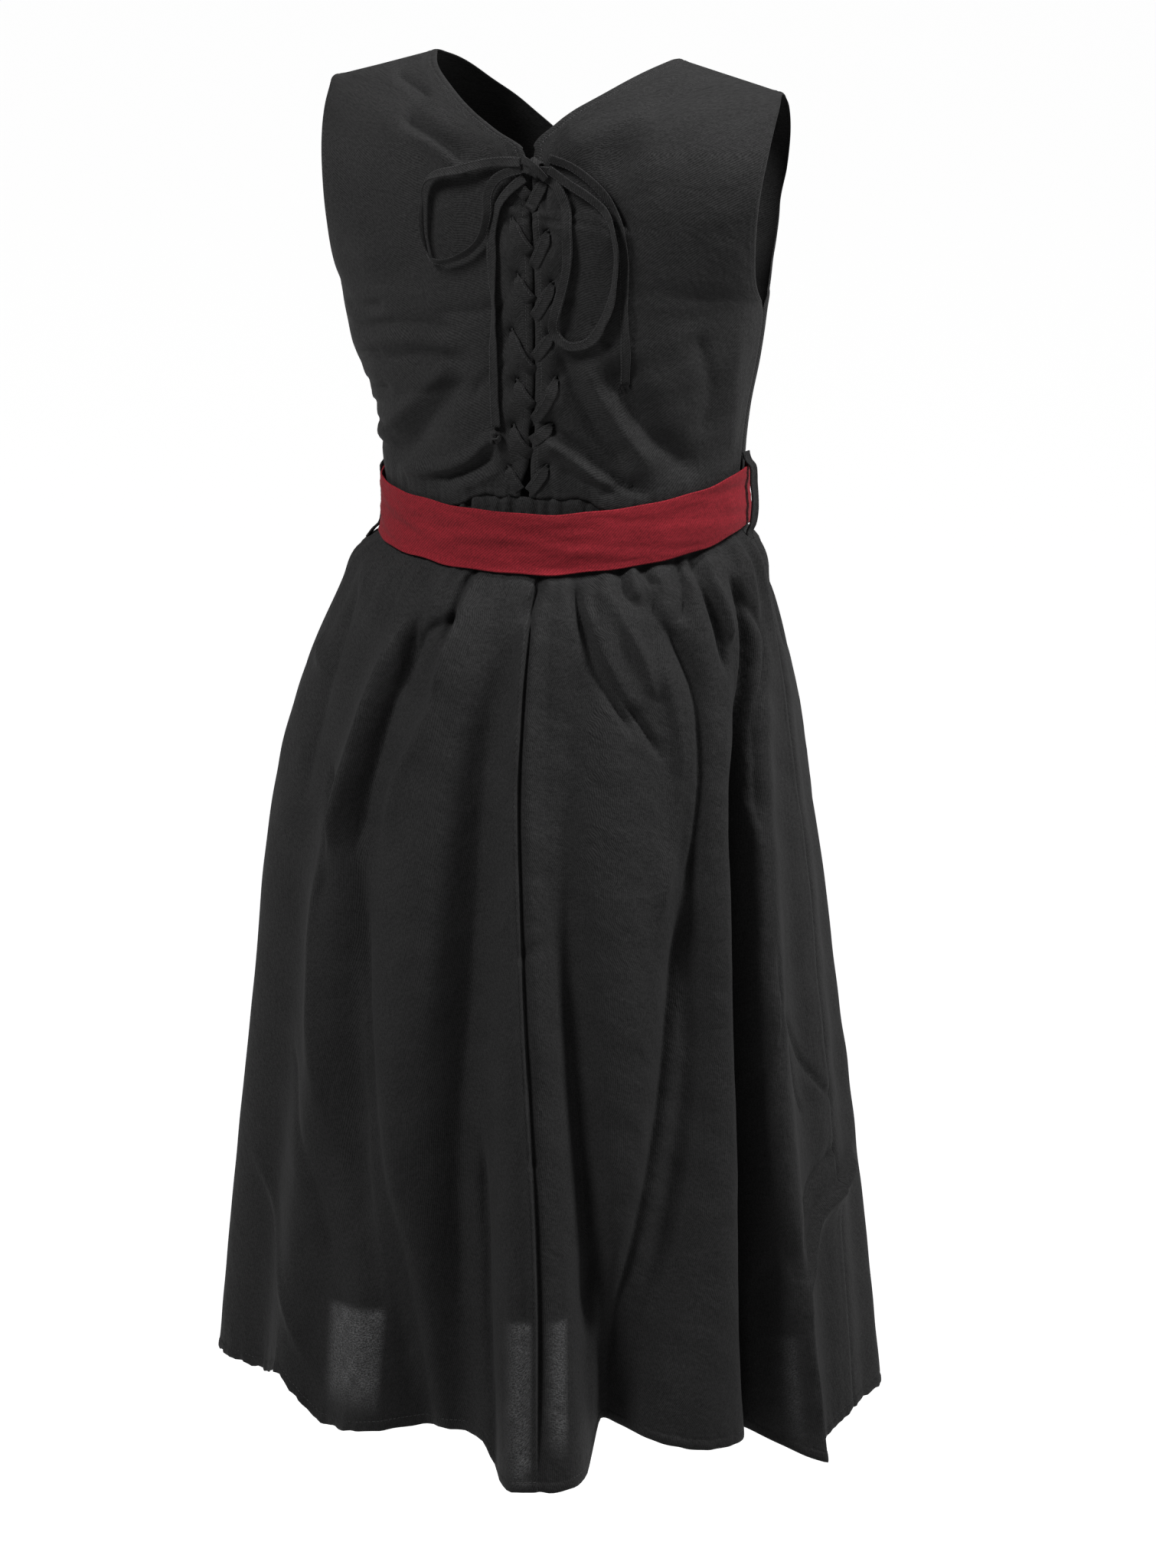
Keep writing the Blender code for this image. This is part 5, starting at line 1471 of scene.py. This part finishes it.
def belt_loop(name, side, paint, slack, turned):
    """A strip over the sash at a side seam; slack 1 stands it as far out as its route says, 0 close."""
    angle = 90.0 * side
    top = float(sash_top(angle))
    foot = top - SASH_WIDTH
    route = [(top + over, stand) for over, stand in LOOP_OVER]
    route += [(top - SASH_WIDTH * share, stand) for share, stand in LOOP_DOWN]
    route += [(foot - under, stand) for under, stand in LOOP_UNDER]
    centres = []
    for height, stand in route:
        if stand > LOOP_CLOSE:
            stand = LOOP_CLOSE + (stand - LOOP_CLOSE) * slack
        centres.append(waist_ring(np.float64(height), np.float64(angle), stand))
    centres = smooth_route(centres, 60)
    acrosses = np.tile([math.sin(turned), math.cos(turned), 0.0], (len(centres), 1))
    acrosses[:, 2] = 0.10 * np.sin(np.linspace(0, 3.1, len(centres)))
    widths = LOOP_WIDTH * (1 - 0.08 * np.sin(np.linspace(0, 9, len(centres))) ** 2)
    made = strip(name, centres, acrosses, widths, LOOP_THICK, paint)
    outward = np.tile([float(side), 0.0, 0.0], (len(centres), 1))
    beside, over = LOOP_STITCH_LINE
    rows = [(centres + acrosses * beside * edge + outward * over, outward) for edge in (1, -1)]
    return made, rows


# lace

def surface_line(places):
    """Centres and outward directions of a route over the back."""
    placed = [back_place(*place) for place in places]
    centres = np.array([point for point, _ in placed])
    outward = np.array([direction for _, direction in placed])
    smooth = np.ones(5) / 5
    for axis in range(3):
        padded = np.pad(centres[:, axis], 2, mode="edge")
        centres[2:-2, axis] = np.convolve(padded, smooth, mode="valid")[2:-2]
    return centres, outward


def lace_run(name, route, rolls, paint, seed):
    """A lace that lies over the back; its width follows the cloth, turned on its edge by the rolls."""
    rolled_route = [(*place, roll * ROLL_SCALE) for place, roll in zip(route, rolls)]
    places = smooth_route(rolled_route, 12 * len(route))
    centres, outward = surface_line(places[:, :3])
    along = np.gradient(centres, axis=0)
    along /= np.linalg.norm(along, axis=1, keepdims=True)
    acrosses = np.cross(along, outward)
    length = along_line(centres)
    share, *lengths = LACE_TWIST
    rolled = np.radians(places[:, 3] / ROLL_SCALE) + share * waves(length + 0.013 * seed, *lengths)
    turned = acrosses * np.cos(rolled)[:, None] + np.cross(along, acrosses) * np.sin(rolled)[:, None]
    share, *lengths = LACE_UNEVEN
    widths = LACE_WIDTH * (0.94 + share * waves(length + 0.02 * seed, *lengths))
    made = strip(name, centres, turned, widths, LACE_THICK, paint)
    up = np.cross(along, turned)
    up *= np.sign((up * outward).sum(1, keepdims=True))
    beside, over = LACE_STITCH_LINE
    return made, centres, (centres + turned * beside + up * over, up)


def lacing_places(side):
    """Places of one run of the lacing, from behind the knot down through eyelets on alternate backs."""
    eyelets = {1: LEFT_EYELETS, -1: RIGHT_EYELETS}
    entries = {1: LEFT_ENTRIES, -1: RIGHT_ENTRIES}
    bows = {1: LEFT_BOWS, -1: RIGHT_BOWS}
    first_x, first_z = eyelets[side][0]
    slit = float(slit_at(first_z, "middle"))
    reach = abs(first_x - slit)
    route = [
        (slit + side * min(x, reach), first_z + rise, stand, wide * WIDTH_SCALE)
        for x, rise, stand, wide in ARM_START
    ]
    for at in range(len(LEFT_EYELETS)):
        start = np.array(eyelets[side][at])
        entry = np.array(entries[side][at])
        last = at == len(LEFT_EYELETS) - 1
        straight = entry - start
        aside = np.array([side * -straight[1], side * straight[0]]) / np.linalg.norm(straight)
        for share, stand, wide in ARM_OUTSIDE[: -1 if last else None]:
            place = start + straight * share + aside * bows[side][at] * 4 * share * (1 - share)
            route.append((*place, stand, wide * WIDTH_SCALE))
        if not last:
            goal = np.array(eyelets[-side][at + 1])
            for share, stand, wide in ARM_INSIDE:
                place = entry + (goal - entry) * share
                route.append((*place, stand, wide * WIDTH_SCALE))
        side = -side
    return route


def lacing(name, side, paint):
    """A run of lace, bunched where it passes the eyelets and the slit."""
    route = smooth_route(lacing_places(side), 420)
    placed = [back_place(*place[:3]) for place in route]
    centres = np.array([point for point, _ in placed])
    outward = np.array([direction for _, direction in placed])
    along = np.gradient(centres, axis=0)
    flat = along - outward * (along * outward).sum(1, keepdims=True)
    acrosses = np.cross(flat, outward)
    acrosses *= np.where(acrosses[:, 2:] < 0, -1, 1)
    for axis in range(3):
        padded = np.pad(acrosses[:, axis], 4, mode="edge")
        acrosses[:, axis] = np.convolve(padded, np.ones(9) / 9, "valid")
    shares = route[:, 3] / WIDTH_SCALE
    thicks = LACE_THICK * (1 + 1.4 * (1 - shares))
    made = strip(name, centres, acrosses, ARM_WIDTH * shares, thicks, paint)
    unit = acrosses / np.linalg.norm(acrosses, axis=1, keepdims=True)
    up = outward * np.where(route[:, 2:3] > 0, 1, -1)
    beside, over = LACE_STITCH_LINE
    line = centres + unit * beside + up * over
    rows = []
    outside = route[:, 2] > STITCHED_ABOVE
    starts = np.flatnonzero(np.diff(outside.astype(int)) == 1) + 1
    for start in starts:
        stop = start
        while stop < len(route) and outside[stop]:
            stop += 1
        if stop - start > 4:
            rows.append((line[start:stop], up[start:stop]))
    return made, rows


def outward_frame(middle):
    """A place over the back, and its directions outward, aside and up."""
    place, outward = back_place(*middle)
    return place, outward, np.array([outward[1], -outward[0], 0.0]), np.array([0.0, 0.0, 1.0])


def knot(name, middle, half_sizes, lace, tilt, paint):
    """A lace drawn into a knot: a flat strip along a three-lobed overhand knot."""
    place, outward, aside, above = outward_frame(middle)
    half_wide, half_high, half_deep = half_sizes
    turns = np.linspace(0, 2 * np.pi, 150)
    across = (np.sin(turns) + 2 * np.sin(2 * turns)) / 2.7
    up = (np.cos(turns) - 2 * np.cos(2 * turns)) / 2.7
    deep = -np.sin(3 * turns)
    a = across * math.cos(tilt) - up * math.sin(tilt)
    b = across * math.sin(tilt) + up * math.cos(tilt)
    room = lace / 2.6
    centres = (
        place
        + aside * a[:, None] * (half_wide - room)
        + above * b[:, None] * (half_high - room)
        + outward * deep[:, None] * (half_deep - LACE_THICK)
    )
    from_middle = centres - place
    along = np.gradient(centres, axis=0)
    acrosses = np.cross(along, from_middle + outward * KNOT_LEAN)
    widths = lace * (0.85 + 0.15 * np.cos(3 * turns))
    return strip(name, centres, acrosses, widths, lace * 0.34, paint)


def bow_knot(middle, paint):
    """The knot of the bow: a lace wrapped round the others, and the two strands drawn through it."""
    place, outward, aside, above = outward_frame(middle)
    up = above * math.cos(KNOT_TILT) - aside * math.sin(KNOT_TILT)
    beside = aside * math.cos(KNOT_TILT) + above * math.sin(KNOT_TILT)
    turns = np.linspace(-2.7, 2.7, 60)[:, None]
    out, high, aslant = WRAP_REACH
    wrap = place + outward * np.cos(turns) * out + up * np.sin(turns) * high
    wrap += beside * aslant * np.sin(2 * turns)
    made = [strip("bow_knot_lace", wrap, np.tile(beside, (len(wrap), 1)), *WRAP_SIZES, paint)]
    shares = np.linspace(-1, 1, 50)[:, None]
    for name, (half_long, slope, arch, bend, stands, falls, *sizes) in KNOT_STRANDS.items():
        rise = slope * shares + arch * np.cos(shares * bend)
        strand = place + beside * shares * half_long + up * rise
        strand += outward * (stands - falls * shares**2)
        made.append(strip(name, strand, np.tile(up, (len(strand), 1)), *sizes, paint))
    return made


def frays(name, tail_end, direction, outward, paint):
    """Loose threads at a cut end of lace."""
    draw = random.Random(7)
    points, faces = [], []
    aside = np.cross(direction, outward)
    root_wide, root_deep = FRAY_ROOT
    for _ in range(FRAYS):
        start = tail_end + aside * draw.uniform(-root_wide, root_wide) - direction * root_deep
        length = draw.uniform(*FRAY_LENGTHS)
        lean = aside * draw.uniform(-0.6, 0.6) + outward * draw.uniform(-0.05, 0.25)
        first = len(points)
        for step in range(FRAY_STEPS + 1):
            share = step / FRAY_STEPS
            curl = aside * math.sin(share * draw.uniform(1.5, 3.5)) * FRAY_CURL
            middle = start + (direction + lean * share) * length * share + curl
            thick = FRAY_THICK * (1 - 0.6 * share)
            for turn in (0, 2.1, 4.2):
                points.append(middle + (aside * math.cos(turn) + outward * math.sin(turn)) * thick)
        for step in range(FRAY_STEPS):
            for corner in range(3):
                after = (corner + 1) % 3
                low = first + step * 3
                faces.append([low + corner, low + after, low + 3 + after, low + 3 + corner])
    uvs = [(point[0], point[2]) for point in points]
    return new_object(name, points, faces, uvs, paint)


def eyelet_rings(name, paint):
    """Buttonhole stitches worked round each eyelet."""
    points, faces = [], []
    wide, tall = EYELET_RING
    for x, z in LEFT_EYELETS + RIGHT_EYELETS:
        place, outward, aside, above = outward_frame((x, z, 0.0))
        place = place - outward * over_creases(x, z) + outward * float(back_relief(x, z)[0])
        first = len(points)
        for step in range(RING_STITCHES):
            turn = 2 * np.pi * step / RING_STITCHES
            radial = aside * math.cos(turn) + above * math.sin(turn)
            middle = place + aside * math.cos(turn) * wide + above * math.sin(turn) * tall
            thick = RING_THICKS[step % 2]
            for corner in range(RING_SIDES):
                at = 2 * np.pi * corner / RING_SIDES
                across = radial * math.cos(at) * RING_WIDE
                points.append(middle + across + outward * math.sin(at) * thick)
        for step in range(RING_STITCHES):
            for corner in range(RING_SIDES):
                after = (corner + 1) % RING_SIDES
                low = first + step * RING_SIDES
                high = first + (step + 1) % RING_STITCHES * RING_SIDES
                faces.append([low + corner, high + corner, high + after, low + after])
    uvs = [(point[0], point[2]) for point in points]
    return new_object(name, points, faces, uvs, paint)


# stage

def make_camera():
    """The camera, level with the photograph's."""
    turn = math.radians(VIEW_ROUND)
    down = math.radians(VIEW_DOWN)
    away = Vector((math.sin(turn), -math.cos(turn), 0))
    aside = Vector((math.cos(turn), math.sin(turn), 0))
    camera = bpy.data.objects.new("camera", bpy.data.cameras.new("camera"))
    camera.data.lens = LENS_MM
    camera.data.sensor_width = 36.0
    camera.data.shift_y = LENS_SHIFT
    camera.data.clip_end = 100.0
    camera.location = away * VIEW_DISTANCE + aside * VIEW_ASIDE + Vector((0, 0, VIEW_HEIGHT))
    look = -away * math.cos(down) - Vector((0, 0, math.sin(down)))
    camera.rotation_mode = "QUATERNION"
    camera.rotation_quaternion = look.to_track_quat("-Z", "Y")
    bpy.context.scene.collection.objects.link(camera)
    bpy.context.scene.camera = camera


def soft_box(name, round_degrees, distance, up, power):
    """A rectangular lamp, turned to the middle of the garment."""
    turn = math.radians(round_degrees)
    data = bpy.data.lights.new(name, "AREA")
    data.shape = "RECTANGLE"
    data.size, data.size_y = SOFT_BOX_SIZE
    data.energy = power
    lamp = bpy.data.objects.new(name, data)
    lamp.location = (math.sin(turn) * distance, -math.cos(turn) * distance, up)
    lamp.rotation_mode = "QUATERNION"
    lamp.rotation_quaternion = (Vector((0, 0, LIT_HEIGHT)) - lamp.location).to_track_quat("-Z", "Y")
    bpy.context.scene.collection.objects.link(lamp)


def make_stage():
    """A pale, evenly lit floor, which throws no light up at the cloth, and a soft box on each side."""
    square = [(0, 0), (1, 0), (1, 1), (0, 1)]
    corners = [((2 * x - 1) * FLOOR_REACH, (2 * y - 1) * FLOOR_REACH, FLOOR_Z) for x, y in square]
    floor = new_object("floor", corners, [[0, 1, 2, 3]], square, floor_paint())
    floor.visible_diffuse = False
    world = bpy.data.worlds.new("studio")
    world.use_nodes = True
    world.node_tree.nodes["Background"].inputs["Color"].default_value = (1, 1, 1, 1)
    world.node_tree.nodes["Background"].inputs["Strength"].default_value = WORLD_STRENGTH
    bpy.context.scene.world = world
    for name, box in SOFT_BOXES.items():
        soft_box(name, *box)
    bpy.context.scene.view_settings.view_transform = "Standard"


def make_cords(paint, stitch_rows):
    """The bow's two loops and two tails, as free laces."""
    runs = (
        ("bow_loop_left_lace", LEFT_LOOP, LEFT_LOOP_ROLLS, "bow_loop_left", "object"),
        ("bow_loop_right_lace", RIGHT_LOOP, RIGHT_LOOP_ROLLS, "bow_loop_right", "object"),
        ("bow_tail_left_lace", LEFT_TAIL, LEFT_TAIL_ROLLS, "bow_tail_left", "knot"),
        ("bow_tail_right_lace", RIGHT_TAIL, RIGHT_TAIL_ROLLS, "bow_tail_right", "bare"),
    )
    made = {}
    for seed, (name, route, rolls, node, far_end) in enumerate(runs):
        piece, centres, stitched = lace_run(name, route, rolls, paint, seed)
        dress(piece, "black_lace", node)
        stitch_rows.append(stitched)
        made[name] = (piece, centres, far_end)
    tail_knot = knot("tail_knot_lace", TAIL_KNOT, TAIL_KNOT_HALF, TAIL_KNOT_LACE, TAIL_KNOT_TILT, paint)
    dress(tail_knot, "black_lace", "tail_knot")
    centres = made["bow_tail_right_lace"][1]
    direction = centres[-1] - centres[-4]
    direction /= np.linalg.norm(direction)
    backward = np.array([0.0, 1.0, 0.0])
    fray = dress(frays("tail_frays", centres[-1], direction, backward, paint), "black_lace")


def make_laces(black_thread):
    """The free cords, the two runs through the eyelets, the bow's knot and the eyelets' rings."""
    paint = twill("lace_twill", **BLACK, pitch_mm=1.4, crumple=0.2)
    stitch_rows = []
    make_cords(paint, stitch_rows)
    for name, side in (("lacing_left_run", 1), ("lacing_right_run", -1)):
        piece, rows = lacing(name + "_lace", side, paint)
        dress(piece, "black_lace", name)
        stitch_rows += rows
    for piece in bow_knot(KNOT, paint):
        dress(piece, "black_lace", "bow_knot")
    dress(eyelet_rings("eyelet_rings", black_thread), "black_lace")
    return stitch_rows


def make_bodice():
    """The two backs and the front; returns their rows of stitching."""
    stitch_rows = []
    for name, side, eyelets in (
        ("bodice_back_left", 1, LEFT_EYELETS), ("bodice_back_right", -1, RIGHT_EYELETS),
    ):
        piece, rows = bodice_back(name + "_cloth", side, eyelets, twill(name + "_twill", **BLACK))
        dress(piece, "black_twill", name)
        stitch_rows += rows
    piece, rows = bodice_front("bodice_front_cloth", twill("bodice_front_twill", **BLACK))
    dress(piece, "black_twill", "bodice_front")
    return stitch_rows + rows


def make_skirt(black_thread):
    """The three gathered panels and the hem's stitching."""
    half, front = HALF_GATHERS_BACK, FRONT_GATHERS
    panels = (
        ("skirt_back_left", 0, half, BACK_COLUMNS),
        ("skirt_back_right", -half, 0, BACK_COLUMNS),
        ("skirt_front", half, half + front, FRONT_COLUMNS),
    )
    stitch_rows = []
    for name, start, end, columns in panels:
        # the back panels carry painted light shining through near the hem; the front does not
        paint = twill(name + "_twill", **BLACK, pitch_mm=1.3, slant=18.0, backlight_paint=name != "skirt_front")
        piece, rows = skirt_panel(name + "_cloth", start, end, columns, paint)
        dress(piece, "black_twill", name)
        stitch_rows += rows
    dress(stitches("hem_stitches", stitch_rows, black_thread, **CLOTH_STITCHES), "black_twill")


def make_sash():
    """The red sash and its double rows of stitching."""
    paint = twill("sash_twill", **RED, slant=48.0, crumple=0.4, lint=0.0)
    piece, rows = sash("sash_cloth", paint)
    dress(piece, "red_twill", "sash")
    red_thread = thread("red_thread", **RED_THREAD)
    dress(stitches("sash_stitches", rows, red_thread, **SASH_STITCHES), "red_twill")


def make_belt_loops():
    """The two belt loops: name, side, slack and how far they turn towards the back."""
    paint = twill("belt_loop_twill", **BLACK, crumple=0.2)
    stitch_rows = []
    loops = (("belt_loop_left", 1, 0.1, 0.0), ("belt_loop_right", -1, 1.0, 0.42))
    for name, side, slack, turned in loops:
        piece, rows = belt_loop(name + "_cloth", side, paint, slack, turned)
        dress(piece, "black_twill", name)
        stitch_rows += rows
    return stitch_rows


def main():
    """Makes the camera, every piece from the laces to the sash, and the stage."""
    make_camera()
    black_thread = thread("black_thread", **BLACK_THREAD)
    lace_rows = make_laces(black_thread)
    cloth_rows = make_bodice()
    make_skirt(black_thread)
    make_sash()
    cloth_rows += make_belt_loops()
    dress(stitches("bodice_stitches", cloth_rows, black_thread, **CLOTH_STITCHES), "black_twill")
    dress(stitches("lace_stitches", lace_rows, black_thread, **LACE_STITCHES), "black_lace")
    make_stage()


main()
